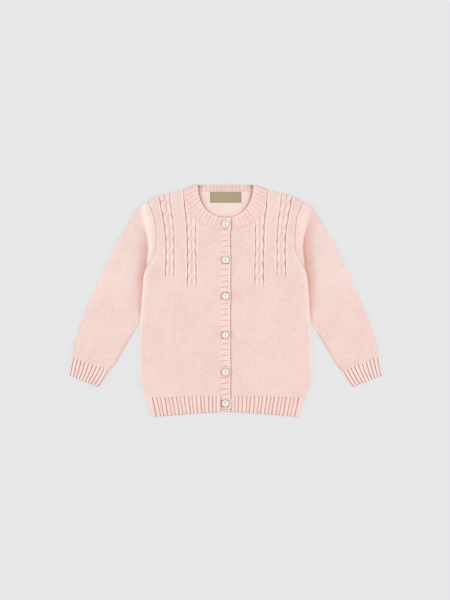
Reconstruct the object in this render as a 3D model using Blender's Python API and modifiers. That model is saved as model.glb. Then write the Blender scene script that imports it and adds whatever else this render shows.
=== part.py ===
"""A child's fine-knit cardigan with cables, buttoned up and laid flat on its back.

Lengths are in millimetres until a mesh is made, and the meshes are in metres.
+Z is up from the surface it lies on, +Y runs from hem to neck, and the
wearer's right front, which buttons over the left, is at -X.  The cut is the
same on both sides of X = 0, so tables give the +X side and a side of -1
mirrors it.
"""

import math
from collections import namedtuple

import bmesh
import bpy

MM = 0.001
RIGHT_SIDE = -1
LEFT_SIDE = 1

# Cloth
WALL = 1.6                  # plain knitted cloth
BAND_WALL = 2.0             # neckband and button bands
GAP = 0.3                   # between pieces that are sewn or lie together
ARMHOLE_GAP = 0.65          # measured across, so about 0.3 where the seam slopes
RIB_RISE = 0.7
CABLE_RISE = 0.9
GROOVE_DEPTH = 0.8          # the purl gutter on each side of a cable
GROOVE_HALF = 1.8

# Levels above the surface that the cardigan lies on
BACK_TOP = WALL
SEAM_Z = BACK_TOP + GAP     # where the fronts come down to the back at its folded edges
UNDER_BAND_Z = BACK_TOP + GAP
UNDER_TOP = UNDER_BAND_Z + BAND_WALL
TOP_BAND_Z = UNDER_TOP + GAP
BAND_TOP = TOP_BAND_Z + BAND_WALL
BUTTON_Z = BAND_TOP + RIB_RISE + GAP
FRONT_Z = 4.3               # outer face of a front where it lies on the back
SHOULDER_LIFT = 1.1         # the fronts stand higher at the shoulders
SIDE_PUFF = 1.1             # the soft roll just inside the side fold
TUCK_PUFF = 2.6             # the same where the side lies against the lowered sleeve
TUCK_BOTTOM = -75.0
ARMHOLE_PUFF = 1.3          # the cloth stands up beside the armhole seam
SLEEVE_Z = 4.7
SLEEVE_FLAT_Z = 3.7         # where its two layers lie on each other
CREST_LIFT = 2.7            # the sleeve's soft fold beside the armhole: its top,
FOLD_LIFT = 2.2             # its edge,
VALLEY_LIFT = -1.0          # the foot of that edge,
SLOPE_LIFTS = (-0.6, -0.4, -0.2)    # and the rings beyond, up to the sleeve's own level
CUFF_Z = 4.6

# Body
HEM_TOP = -152.0
HEM_TOP_DROP = 2.6          # the hem seam sags towards the sides
HEM_BOTTOM = -178.3
HEM_BOTTOM_DROP = 7.9
HEM_BOTTOM_HALF = 118.1
HEM_RIBS = 17               # on each front
FOLD_REACH = 5.0            # how far a rounded fold reaches in from its edge
UNDERARM_Y = 53.3
SHOULDER_POINT_Y = 158.5

# Neck
NECK_TOP = 186.1
NECK_HALF = 43.8            # free edge of the neckband
NECK_DEPTH = 53.6
NECK_POWER = 2.2
SEAM_HALF = 67.2            # seam between the fronts and the neckband
SEAM_DEPTH = 72.8
SEAM_POWER = 2.5
SEAM_TOP_X = 67.07
BACK_NECK_Y = 174.0
NECK_FOLD_RADIUS = 1.7      # middle of the cloth, where the band turns over the shoulder
NECK_FOLD_TURN = (0.348, 0.938)
BACK_LEAN = 4.5             # how far the back of the neckband stands up

# Bands and buttons
BAND_SEAM_X = 9.6
BAND_EDGE_X = 8.8
BAND_RIBS = 32
BAND_TOP_Y = NECK_TOP - SEAM_DEPTH - GAP
BUTTON_YS = (121.8, 64.5, 6.6, -55.2, -114.6, -164.5)
BUTTON_RADIUS = 5.7
BUTTON_HOLE_RADIUS = 0.8
BUTTON_HOLE_OFFSET = 1.75

# Cables
CABLE_REPEAT = 19.7         # a crossing at every multiple of this height
CABLE_PINCH = 0.7           # how far each gutter comes in where the strands cross
OUTER_CABLE_FOOT = 37.3
INNER_CABLE_FOOT = 21.3

# Label
LABEL_WIDTH = 49.6
LABEL_HEIGHT = 17.0
LABEL_THICKNESS = 1.0
LABEL_CENTRE = (0.5, 164.6)

EdgeStation = namedtuple("EdgeStation", "y x")
CableStation = namedtuple("CableStation", "y outer_far outer_near inner_far inner_near")
SleeveStation = namedtuple("SleeveStation", "outer_x outer_y inner_x inner_y")

# The body's edge, from the hem seam up the side fold and the armhole.
BODY_EDGE = (
    EdgeStation(-154.6, 127.6),
    EdgeStation(-147.0, 131.0),
    EdgeStation(-140.0, 133.9),
    EdgeStation(-127.0, 136.8),
    EdgeStation(-80.0, 136.8),
    EdgeStation(-35.0, 136.0),
    EdgeStation(15.0, 132.4),
    EdgeStation(34.0, 131.3),
    EdgeStation(47.0, 128.3),
    EdgeStation(UNDERARM_Y, 125.0),
    EdgeStation(60.0, 119.8),
    EdgeStation(72.5, 113.7),
    EdgeStation(96.5, 110.9),
    EdgeStation(126.9, 113.1),
    EdgeStation(141.3, 117.3),
    EdgeStation(SHOULDER_POINT_Y, 124.6),
)

# The shoulder fold, from the neckband out to the shoulder point.
SHOULDER_LINE = (
    EdgeStation(177.5, SEAM_TOP_X),
    EdgeStation(171.2, 92.0),
    EdgeStation(166.9, 108.8),
    EdgeStation(SHOULDER_POINT_Y, 124.6),
)

# The four purl gutters that bound the two cables of a front.
CABLE_LINES = (
    CableStation(-154.6, 95.0, 81.0, 60.0, 46.9),
    CableStation(20.0, 97.0, 82.7, 60.6, 46.9),
    CableStation(60.0, 95.3, 82.6, 60.3, 47.4),
    CableStation(90.0, 95.0, 82.6, 60.8, 48.2),
    CableStation(110.0, 96.2, 83.1, 61.2, 48.0),
    CableStation(130.0, 99.2, 84.8, 62.6, 47.5),
    CableStation(150.0, 103.2, 87.9, 65.2, 47.0),
    CableStation(178.0, 108.5, 90.0, 67.3, 46.0),
)

# The edge of the soft fold that the lowered sleeve makes beside the armhole.
SLEEVE_FOLD = (
    EdgeStation(52.0, 126.6),
    EdgeStation(62.0, 125.3),
    EdgeStation(77.0, 123.5),
    EdgeStation(96.0, 123.3),
    EdgeStation(112.0, 124.7),
    EdgeStation(137.0, 131.3),
    EdgeStation(153.4, 134.0),
)

# Where each ring of the sleeve meets its outer and inner folded edges.
SLEEVE_STATIONS = (
    SleeveStation(144.6, 141.3, 129.1, 45.6),
    SleeveStation(152.6, 128.5, 130.8, 39.0),
    SleeveStation(163.5, 109.3, 132.0, 31.0),
    SleeveStation(174.1, 90.1, 132.6, 21.0),
    SleeveStation(182.4, 74.1, 133.0, 9.0),
    SleeveStation(190.4, 58.1, 133.9, -3.0),
    SleeveStation(203.4, 29.3, 135.2, -20.0),
    SleeveStation(216.6, 0.5, 138.0, -37.0),
    SleeveStation(223.2, -15.5, 145.0, -49.0),
    SleeveStation(229.3, -31.5, 153.6, -63.0),
    SleeveStation(235.4, -47.5, 163.0, -79.0),
    SleeveStation(240.6, -63.5, 172.0, -95.0),
    SleeveStation(243.4, -75.0, 178.5, -104.5),
    SleeveStation(245.3, -89.7, 184.8, -111.9),
)
CUFF_STATIONS = (
    SleeveStation(245.4, -90.0, 184.9, -112.2),
    SleeveStation(246.3, -96.5, 188.9, -119.6),
    SleeveStation(248.9, -112.0, 198.4, -133.9),
    SleeveStation(250.2, -119.5, 203.0, -138.7),
)

KNIT_PINK = (0.87, 0.64, 0.59)
RIB_PINK = (0.84, 0.60, 0.55)
LABEL_KHAKI = (0.42, 0.36, 0.23)
BUTTON_IVORY = (0.90, 0.85, 0.74)


# ---------------------------------------------------------------- arithmetic

def lerp(start, end, share):
    """A value part of the way from start to end."""
    return start + (end - start) * share


def ease(share):
    """0 below 0, 1 above 1, with a soft start and end between."""
    share = min(max(share, 0.0), 1.0)
    return share * share * (3.0 - 2.0 * share)


def quarter(share):
    """Sine and cosine of a quarter turn's share."""
    angle = math.radians(90.0 * min(max(share, 0.0), 1.0))
    return math.sin(angle), math.cos(angle)


def read_line(rows, key, value, at):
    """A smooth curve through a table: column value where column key equals at."""
    keys = [getattr(row, key) for row in rows]
    values = [getattr(row, value) for row in rows]
    if keys[0] > keys[-1]:
        keys.reverse()
        values.reverse()
    last = len(keys) - 1
    at = min(max(at, keys[0]), keys[-1])
    span = max(i for i in range(last) if keys[i] <= at)
    width = keys[span + 1] - keys[span]
    f = (at - keys[span]) / width

    def slope(i):
        low, high = max(i - 1, 0), min(i + 1, last)
        return (values[high] - values[low]) / (keys[high] - keys[low])

    start, end = values[span], values[span + 1]
    in_start = (f ** 3 - 2 * f ** 2 + f) * width * slope(span)
    in_end = (f ** 3 - f ** 2) * width * slope(span + 1)
    return start + (end - start) * (3 * f ** 2 - 2 * f ** 3) + in_start + in_end


def arc_points(curve, count):
    """Points at even distances along curve(share), share from 0 to 1."""
    fine = [curve(i / 400) for i in range(401)]
    lengths = [0.0]
    for one, two in zip(fine, fine[1:]):
        lengths.append(lengths[-1] + math.dist(one, two))
    points = []
    step = 0
    for k in range(count):
        goal = lengths[-1] * k / (count - 1)
        while step < 399 and lengths[step + 1] < goal:
            step += 1
        f = (goal - lengths[step]) / (lengths[step + 1] - lengths[step])
        points.append(tuple(lerp(a, b, f) for a, b in zip(fine[step], fine[step + 1])))
    return points


# -------------------------------------------------------------- the cut's lines

def body_edge(y):
    """Half width of the body at a height: the side fold, then the armhole."""
    return read_line(BODY_EDGE, "y", "x", y)


def hem_top(x):
    return HEM_TOP - HEM_TOP_DROP * (abs(x) / 128.0) ** 2


def hem_bottom(x):
    return HEM_BOTTOM - HEM_BOTTOM_DROP * (abs(x) / HEM_BOTTOM_HALF) ** 1.3


def neck_curve(half, depth, power, share, end_y):
    """The scooped neckline from its lowest point up to end_y, by a share of its turn."""
    end = math.acos(((NECK_TOP - end_y) / depth) ** (power / 2))
    angle = share * end
    x = half * math.sin(angle) ** (2 / power)
    y = NECK_TOP - depth * math.cos(angle) ** (2 / power)
    return x, y


def front_top(x):
    """The upper edge of a front: the neck seam, then the shoulder fold."""
    if x >= SEAM_TOP_X:
        return read_line(SHOULDER_LINE, "x", "y", x)
    return NECK_TOP - SEAM_DEPTH * (1 - (x / SEAM_HALF) ** SEAM_POWER) ** (1 / SEAM_POWER)


# ------------------------------------------------------------------ mesh making

def new_object(name, mesh, collection, material):
    """An object for a mesh, in its collection, with its material."""
    mesh.materials.append(material)
    thing = bpy.data.objects.new(name, mesh)
    collection.objects.link(thing)
    return thing


def finish_mesh(name, bm, smooth_angle=40.0):
    """A shaded mesh, its faces pointing out, from a bmesh."""
    bmesh.ops.recalc_face_normals(bm, faces=bm.faces)
    mesh = bpy.data.meshes.new(name)
    bm.to_mesh(mesh)
    bm.free()
    mesh.shade_smooth()
    mesh.set_sharp_from_angle(angle=math.radians(smooth_angle))
    return mesh


def metres(point):
    return tuple(value * MM for value in point)


def zip_strip(bm, one, one_keys, two, two_keys):
    """Triangles between two rows of vertices that may differ in number."""
    i = 0
    j = 0
    while i < len(one) - 1 or j < len(two) - 1:
        two_done = j == len(two) - 1
        if two_done or (i < len(one) - 1 and one_keys[i + 1] <= two_keys[j + 1]):
            bm.faces.new((one[i], one[i + 1], two[j]))
            i += 1
        else:
            bm.faces.new((one[i], two[j + 1], two[j]))
            j += 1


def grid_border(rows, cols):
    """The edge of a grid of the given row and column numbers, and a key for each place."""
    last_row, last_col = rows[-1], cols[-1]
    places = [(rows[0], j, j) for j in cols[:-1]]
    places += [(i, last_col, last_col + i) for i in rows[:-1]]
    places += [(last_row, j, 2 * last_col + last_row - j) for j in reversed(cols[1:])]
    places += [(i, cols[0], 2 * last_col + 2 * last_row - i) for i in reversed(rows[1:])]
    places.append((rows[0], cols[0], 2 * last_col + 2 * last_row))
    return places


def wall_mesh(name, points, plain_rows, plain_cols):
    """A cloth wall: a fine outer face over a plain inner face with fewer points.

    points[i][j] holds the outer and the inner point of the cloth; the inner
    face keeps only plain_rows and plain_cols.
    """
    bm = bmesh.new()
    all_rows = list(range(len(points)))
    all_cols = list(range(len(points[0])))
    borders = []
    for face, rows, cols in ((0, all_rows, all_cols), (1, plain_rows, plain_cols)):
        verts = {(i, j): bm.verts.new(metres(points[i][j][face])) for i in rows for j in cols}
        for low, high in zip(rows, rows[1:]):
            for near, far in zip(cols, cols[1:]):
                corners = ((low, near), (low, far), (high, far), (high, near))
                bm.faces.new([verts[corner] for corner in corners])
        places = grid_border(rows, cols)
        borders.append(([verts[i, j] for i, j, _ in places], [key for _, _, key in places]))
    zip_strip(bm, *borders[0], *borders[1])
    return finish_mesh(name, bm)


def tube_mesh(name, outer_rings, outer_keys, inner_rings, inner_keys):
    """A cloth tube, open at both ends, through closed rings of outer and inner points."""
    bm = bmesh.new()
    faces = []
    for rings in (outer_rings, inner_rings):
        verts = [[bm.verts.new(metres(point)) for point in ring] for ring in rings]
        for low, high in zip(verts, verts[1:]):
            for k in range(len(low)):
                bm.faces.new((low[k - 1], low[k], high[k], high[k - 1]))
        faces.append(verts)
    for end in (0, -1):
        outer = faces[0][end] + faces[0][end][:1]
        inner = faces[1][end] + faces[1][end][:1]
        zip_strip(bm, outer, outer_keys + [2.0], inner, inner_keys + [2.0])
    return finish_mesh(name, bm)


def flat_mesh(name, outline, low, high):
    """A level layer of cloth with the given outline."""
    bm = bmesh.new()
    verts = [bm.verts.new(metres((x, y, low))) for x, y in outline]
    base = bm.faces.new(verts)
    grown = bmesh.ops.extrude_face_region(bm, geom=[base])
    raised = [part for part in grown["geom"] if isinstance(part, bmesh.types.BMVert)]
    bmesh.ops.translate(bm, verts=raised, vec=(0, 0, (high - low) * MM))
    bmesh.ops.triangulate(bm, faces=[f for f in bm.faces if len(f.verts) > 4])
    return finish_mesh(name, bm)


# -------------------------------------------------------------------- the fronts

def cable_rise(across, y):
    """Height of a two-strand rope cable at a share of its width.

    At each crossing one strand passes over the other, always the same way.
    """
    turn = ((y / CABLE_REPEAT + 0.5) % 1.0 - 0.5) / 0.32
    swing = math.sin(math.radians(90.0 * min(max(turn, -1.0), 1.0)))
    over = 0.5 + 0.23 * swing
    under = 0.5 - 0.23 * swing
    under_height = 1.0 - 0.7 * (1.0 - abs(swing))

    def strand(centre):
        reach = min(abs(across - centre) / 0.3, 1.0)
        return math.cos(math.radians(90.0 * reach))

    return CABLE_RISE * max(strand(over), strand(under) * under_height)


def front_relief(side, u, y):
    """Raised cables and their gutters on a front; all cables turn the same way."""
    gutter = 0.0
    for line in (2, 3, 4, 5):
        foot = OUTER_CABLE_FOOT if line < 4 else INNER_CABLE_FOOT
        shown = ease((y - foot) / 5.0)
        from_line = abs(front_x(u, y) - front_x(line, y))
        gutter = max(gutter, shown * (1.0 - ease(from_line / GROOVE_HALF)))
    rise = 0.0
    for first, foot in ((2, OUTER_CABLE_FOOT), (4, INNER_CABLE_FOOT)):
        if first < u < first + 1:
            across = u - first if side == RIGHT_SIDE else first + 1 - u
            rise = cable_rise(across, y) * ease((y - foot) / 5.0)
    return rise - GROOVE_DEPTH * gutter


def front_x(u, y):
    """Across a front: u is 0 at the side, 1 past its fold, 2 to 5 on the gutters, 6 at the band."""
    edge = body_edge(y)
    if u <= 1.0:
        return edge - FOLD_REACH * (1.0 - quarter(u)[1])
    lines = [edge - FOLD_REACH]
    pinch = CABLE_PINCH * math.cos(math.radians(360.0 * y / CABLE_REPEAT))
    for column in ("outer_far", "outer_near", "inner_far", "inner_near"):
        foot = OUTER_CABLE_FOOT if column.startswith("outer") else INNER_CABLE_FOOT
        inward = -pinch if column.endswith("far") else pinch
        line = read_line(CABLE_LINES, "y", column, y)
        lines.append(line + inward * ease((y - foot) / 8.0) * ease((170.0 - y) / 12.0))
    lines.append(BAND_SEAM_X)
    span = min(int(u) - 1, 4)
    return lerp(lines[span], lines[span + 1], u - 1.0 - span)


def front_top_y(u):
    """Where a line of stitches, followed up, meets the front's upper edge."""
    low, high = 60.0, 178.5
    for _ in range(40):
        middle = (low + high) / 2
        if middle < front_top(front_x(u, middle)):
            low = middle
        else:
            high = middle
    return low


def band_share(x):
    """1 at the button bands and 0 well away from them."""
    return ease(1.0 - (abs(x) - BAND_SEAM_X) / 24.0)


def front_height(side, x, y):
    """Level of a front's outer face, without folds and relief."""
    level = FRONT_Z + SHOULDER_LIFT * ease((y - 100.0) / 60.0)
    band_level = BAND_TOP if side == RIGHT_SIDE else UNDER_TOP
    from_edge = body_edge(y) - abs(x)
    side_roll = lerp(SIDE_PUFF, TUCK_PUFF, ease((y - TUCK_BOTTOM) / 40.0))
    side_roll *= math.exp(-((from_edge - 6.0) / 7.0) ** 2)
    armhole_roll = ARMHOLE_PUFF * math.exp(-(from_edge / 11.0) ** 2)
    puff = lerp(side_roll, armhole_roll, ease((y - UNDERARM_Y + 10.0) / 30.0))
    return lerp(level + puff, band_level, band_share(x))


def front_point(side, u, y, top_y, past_top):
    """Outer and inner point of a front; past_top runs from 0 to 1 over the shoulder fold."""
    x = front_x(u, y)
    side_fold = ease((UNDERARM_Y - y) / 18.0)
    shoulder_fold = ease((front_x(u, top_y) - SEAM_TOP_X + 1.0) / 6.0)
    side_sin, side_cos = quarter(u)
    top_sin, top_cos = quarter(1.0 - past_top)
    rise = (1.0 - side_fold * (1.0 - side_sin)) * (1.0 - shoulder_fold * (1.0 - top_sin))
    level = SEAM_Z + (front_height(side, x, y) - SEAM_Z) * rise
    outer = (side * x, y, level + front_relief(side, u, y) * rise)
    inner_x = x - WALL * side_fold * side_cos
    inner_y = y - WALL * shoulder_fold * top_cos
    return outer, (side * inner_x, inner_y, level - WALL * rise)


def spread(*stretches):
    """Steps through (start, end, count) stretches, each start shared with the last end."""
    steps = [stretches[0][0]]
    for start, end, count in stretches:
        steps += [lerp(start, end, k / count) for k in range(1, count + 1)]
    return steps


def make_front(name, side):
    """A front panel from the hem seam to the neck seam and shoulder fold."""
    across = spread((0, 1, 3), (1, 1.94, 2), (1.94, 2, 1),
                    (2, 2.13, 1), (2.13, 2.87, 3), (2.87, 3, 1),
                    (3, 3.08, 1), (3.08, 3.92, 2), (3.92, 4, 1),
                    (4, 4.13, 1), (4.13, 4.87, 4), (4.87, 5, 1), (5, 5.05, 1), (5.05, 6, 5))
    fan_y = 60.0
    lower = spread((0.0, 0.6, 4), (0.6, 0.82, 3), (0.82, 1.0, 9))
    upper = spread((0.0, 1.0, 30))[1:]
    folds = (1 / 3, 2 / 3, 1.0)
    points = []
    columns = [(u, front_top_y(u)) for u in across]
    for share in lower:
        row = []
        for u, top_y in columns:
            hem_y = hem_top(front_x(u, HEM_TOP)) + GAP
            row.append(front_point(side, u, lerp(hem_y, fan_y, share), top_y, 0.0))
        points.append(row)
    for share in upper:
        row = []
        for u, top_y in columns:
            y = lerp(fan_y, top_y - FOLD_REACH, share)
            row.append(front_point(side, u, y, top_y, 0.0))
        points.append(row)
    for past_top in folds:
        reach = FOLD_REACH * (1.0 - quarter(1.0 - past_top)[1])
        row = [front_point(side, u, top_y - reach, top_y, past_top) for u, top_y in columns]
        points.append(row)
    last_row = len(points) - 1
    plain_rows = list(range(0, last_row - 3, 4)) + list(range(last_row - 3, last_row + 1))
    plain_cols = [0, 1, 2, across.index(1), across.index(2), across.index(3)]
    plain_cols += list(range(across.index(4), len(across)))
    return wall_mesh(name, points, plain_rows, plain_cols)


def rib_share(step):
    """Relief at one of three points of a rib: its valley, then its two shoulders."""
    return 0.0 if step % 3 == 0 else 1.0


def make_front_hem(name, side):
    """The ribbed hem of a front."""
    rows = (0.0, 0.12, 0.5, 0.88, 1.0)
    fold_steps = 3
    rib_steps = HEM_RIBS * 3
    points = []
    for share in rows:
        row = []
        half = lerp(HEM_BOTTOM_HALF, body_edge(HEM_TOP - HEM_TOP_DROP), share)
        for k in range(fold_steps + rib_steps + 1):
            fold = min(k / fold_steps, 1.0)
            fold_sin, fold_cos = quarter(fold)
            along = max(k - fold_steps, 0) / rib_steps
            x = half - FOLD_REACH * (1.0 - fold_cos)
            x = lerp(x, BAND_SEAM_X, along)
            y = lerp(hem_bottom(x), hem_top(x), share)
            level = front_height(side, x, HEM_TOP) - 0.5 * (1.0 - ease(share / 0.3))
            level = max(level, UNDER_TOP)
            seam = 0.35 if share in (0.0, 1.0) else 1.0
            relief = RIB_RISE * rib_share(k - fold_steps) * seam * fold_sin
            level = SEAM_Z + (level - SEAM_Z) * fold_sin
            outer = (side * x, y, level + relief)
            inner = (side * (x - WALL * fold_cos), y, level - WALL * fold_sin)
            row.append((outer, inner))
        points.append(row)
    last = fold_steps + rib_steps
    plain_cols = [0, 1, 2] + list(range(3, last, 6)) + [last]
    return wall_mesh(name, points, [0, 2, 4], plain_cols)


# ---------------------------------------------------------------------- the back

def make_back(name):
    """The back panel, flat on the surface, with its outer side down."""
    side_ys = spread((-154.6, -127.0, 4), (-127.0, 34.0, 7), (34.0, 72.5, 8),
                     (72.5, SHOULDER_POINT_Y, 7))
    half = [(body_edge(y), y) for y in side_ys]
    half[0] = (half[0][0], half[0][1] + GAP)
    half += [(x, front_top(x)) for x in (116.0, 108.8, 100.0, 92.0, 80.0, SEAM_TOP_X + 0.4)]
    half.append((SEAM_TOP_X - 0.3, BACK_NECK_Y))
    lower = [(x, hem_top(x) + GAP) for x in (-100.0, -60.0, 0.0, 60.0, 100.0)]
    mirrored = [(-x, y) for x, y in reversed(half)]
    return flat_mesh(name, lower + half + mirrored, 0.0, WALL)


def make_back_hem(name):
    """The back's ribbed hem, flat on the surface; its ribs lie under it and inside."""
    xs = [HEM_BOTTOM_HALF * k / 8 for k in range(-8, 9)]
    lower = [(x, hem_bottom(x)) for x in xs]
    top_half = body_edge(HEM_TOP - HEM_TOP_DROP)
    upper = [(top_half * k / 4, hem_top(top_half * k / 4)) for k in range(4, -5, -1)]
    return flat_mesh(name, lower + upper, 0.0, WALL)


# --------------------------------------------------------------------- the sleeves

def sleeve_rings():
    """The sleeve's rings in plan: each gives a place for a share from outer to inner edge."""

    def armhole(share):
        y = lerp(SHOULDER_POINT_Y, UNDERARM_Y, share)
        return body_edge(y) + ARMHOLE_GAP, y

    def fold(share):
        y = lerp(153.4, 52.0, share)
        return read_line(SLEEVE_FOLD, "y", "x", y), y

    def crest(share):
        return tuple(lerp(a, b, 0.55) for a, b in zip(armhole(share), fold(share)))

    def valley(share):
        x, y = fold(share)
        return x + 2.6 - 2.0 * ease((share - 0.9) / 0.1), y - 1.6

    def straight(station):
        def place(share):
            x = lerp(station.outer_x, station.inner_x, share)
            return x, lerp(station.outer_y, station.inner_y, share)
        return place

    rings = [(armhole, ARMHOLE_PUFF), (crest, CREST_LIFT), (fold, FOLD_LIFT),
             (valley, VALLEY_LIFT)]
    lifts = SLOPE_LIFTS + (0.0,) * (len(SLEEVE_STATIONS) - len(SLOPE_LIFTS))
    for station, lift in zip(SLEEVE_STATIONS, lifts):
        rings.append((straight(station), lift))
    return rings


def sleeve_height(x, y, share, lift, tucked):
    """Level of the sleeve's upper face, with the fold beside the armhole."""
    level = SLEEVE_Z + 0.9 * SHOULDER_LIFT * ease((y - 100.0) / 60.0)
    level += lift * ease(share / 0.3) * ease((1.0 - share) / 0.1)
    level += 0.6 * math.exp(-((share - 0.12) / 0.1) ** 2)
    level -= tucked * ease((share - 0.7) / 0.3)
    return max(level, SLEEVE_FLAT_Z)


def ring_section(place, length, top_steps, under_steps, height, relief):
    """Outer and inner points round one flattened ring, over the top and back underneath.

    Each step is (fold, across): fold runs from 0 on the ring's edge to 1 past
    its rounding, and across runs from 0 at the outer edge to 1 at the inner.
    """
    edge_z = 2.2
    outer = []
    inner = []
    for face, steps in ((1, top_steps), (-1, under_steps)):
        for fold, across in steps:
            fold_sin, fold_cos = quarter(fold)
            reach = FOLD_REACH * (1.0 - fold_cos) / length
            share = lerp(reach, 1.0 - reach, across)
            x, y = place(share)
            inward = WALL * fold_cos / length
            in_x, in_y = place(share + inward if across < 0.5 else share - inward)
            if face > 0:
                top = height(x, y, share)
                outer_z = edge_z + (top - edge_z) * fold_sin
                inner_z = edge_z + (top - WALL - edge_z) * fold_sin
                outer_z += relief(across) * fold_sin
            else:
                outer_z = edge_z * (1.0 - fold_sin)
                inner_z = edge_z - (edge_z - WALL) * fold_sin
            outer.append((x, y, outer_z))
            inner.append((in_x, in_y, inner_z))
    return outer, inner


def across_steps(count):
    """Fold and crossing steps over the top of a ring: fold, cloth, fold."""
    steps = [(0.0, 0.0), (1 / 3, 0.0), (2 / 3, 0.0)]
    steps += [(1.0, k / count) for k in range(count + 1)]
    return steps + [(2 / 3, 1.0), (1 / 3, 1.0), (0.0, 1.0)]


def make_tube(name, side, places, heights, count, relief, plain):
    """A sleeve or cuff through its rings."""
    top = across_steps(count)
    under = list(reversed(across_steps(plain)))[1:-1]
    outer_rings = []
    inner_rings = []
    plain_top = across_steps(plain)
    for index, (place, height) in enumerate(zip(places, heights)):
        length = math.dist(place(0.0), place(1.0))
        rise = relief(index)
        outer, _ = ring_section(place, length, top, under, height, rise)
        _, inner = ring_section(place, length, plain_top, under, height, lambda across: 0.0)
        outer_rings.append([(side * x, y, z) for x, y, z in outer])
        inner_rings.append([(side * x, y, z) for x, y, z in inner])

    def keys(top_count):
        over = [k / (top_count - 1) for k in range(top_count)]
        return over + [1.0 + (k + 1) / (len(under) + 1) for k in range(len(under))]

    return tube_mesh(name, outer_rings, keys(len(top)), inner_rings, keys(len(plain_top)))


def make_sleeve(name, side):
    """A sleeve from the armhole seam to the cuff seam."""
    places = []
    heights = []
    for index, (place, lift) in enumerate(sleeve_rings()):
        tucked = 1.0 if index < 11 else 0.0
        places.append(place)
        heights.append(lambda x, y, share, lift=lift, tucked=tucked:
                       sleeve_height(x, y, share, lift, tucked))
    return make_tube(name, side, places, heights, 10, lambda index: lambda across: 0.0, 4)


def make_cuff(name, side):
    """A ribbed cuff."""
    ribs = 10
    places = []
    for station in CUFF_STATIONS:
        places.append(lambda share, s=station: (lerp(s.outer_x, s.inner_x, share),
                                                lerp(s.outer_y, s.inner_y, share)))
    last = len(CUFF_STATIONS) - 1

    def relief(index):
        shown = 0.35 if index in (0, last) else 1.0
        return lambda across: RIB_RISE * shown * rib_share(round(across * ribs * 3))

    heights = [lambda x, y, share: CUFF_Z] * len(places)
    return make_tube(name, side, places, heights, ribs * 3, relief, 4)


# ------------------------------------------------------------- bands and neckband

def make_top_band(name):
    """The buttonhole band, ribbed across, on top of the button band."""
    columns = ((-BAND_SEAM_X + GAP, 0.0, 0.0), (-8.0, 1.0, 0.0), (0.0, 1.0, 0.0),
               (7.2, 1.0, 0.0), (BAND_EDGE_X - 0.4, 0.5, 0.4))
    rib_steps = BAND_RIBS * 3
    bottom = HEM_BOTTOM
    points = []
    for k in range(rib_steps + 1):
        y = lerp(bottom, BAND_TOP_Y, k / rib_steps)
        rib = rib_share(k)
        row = []
        for x, shown, scallop in columns:
            outer = (x + scallop * rib, y, BAND_TOP + RIB_RISE * rib * shown - scallop)
            inner = (x + scallop * rib, y, TOP_BAND_Z)
            row.append((outer, inner))
        points.append(row)
    plain_rows = list(range(0, rib_steps + 1, 12))
    return wall_mesh(name, points, plain_rows, [0, 2, 4])


def make_under_band(name):
    """The button band, hidden under the buttonhole band."""
    near = -BAND_EDGE_X
    far = BAND_SEAM_X - GAP
    outline = [(near, HEM_BOTTOM), (far, HEM_BOTTOM), (far, BAND_TOP_Y), (near, BAND_TOP_Y)]
    return flat_mesh(name, outline, UNDER_BAND_Z, UNDER_TOP)


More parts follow.
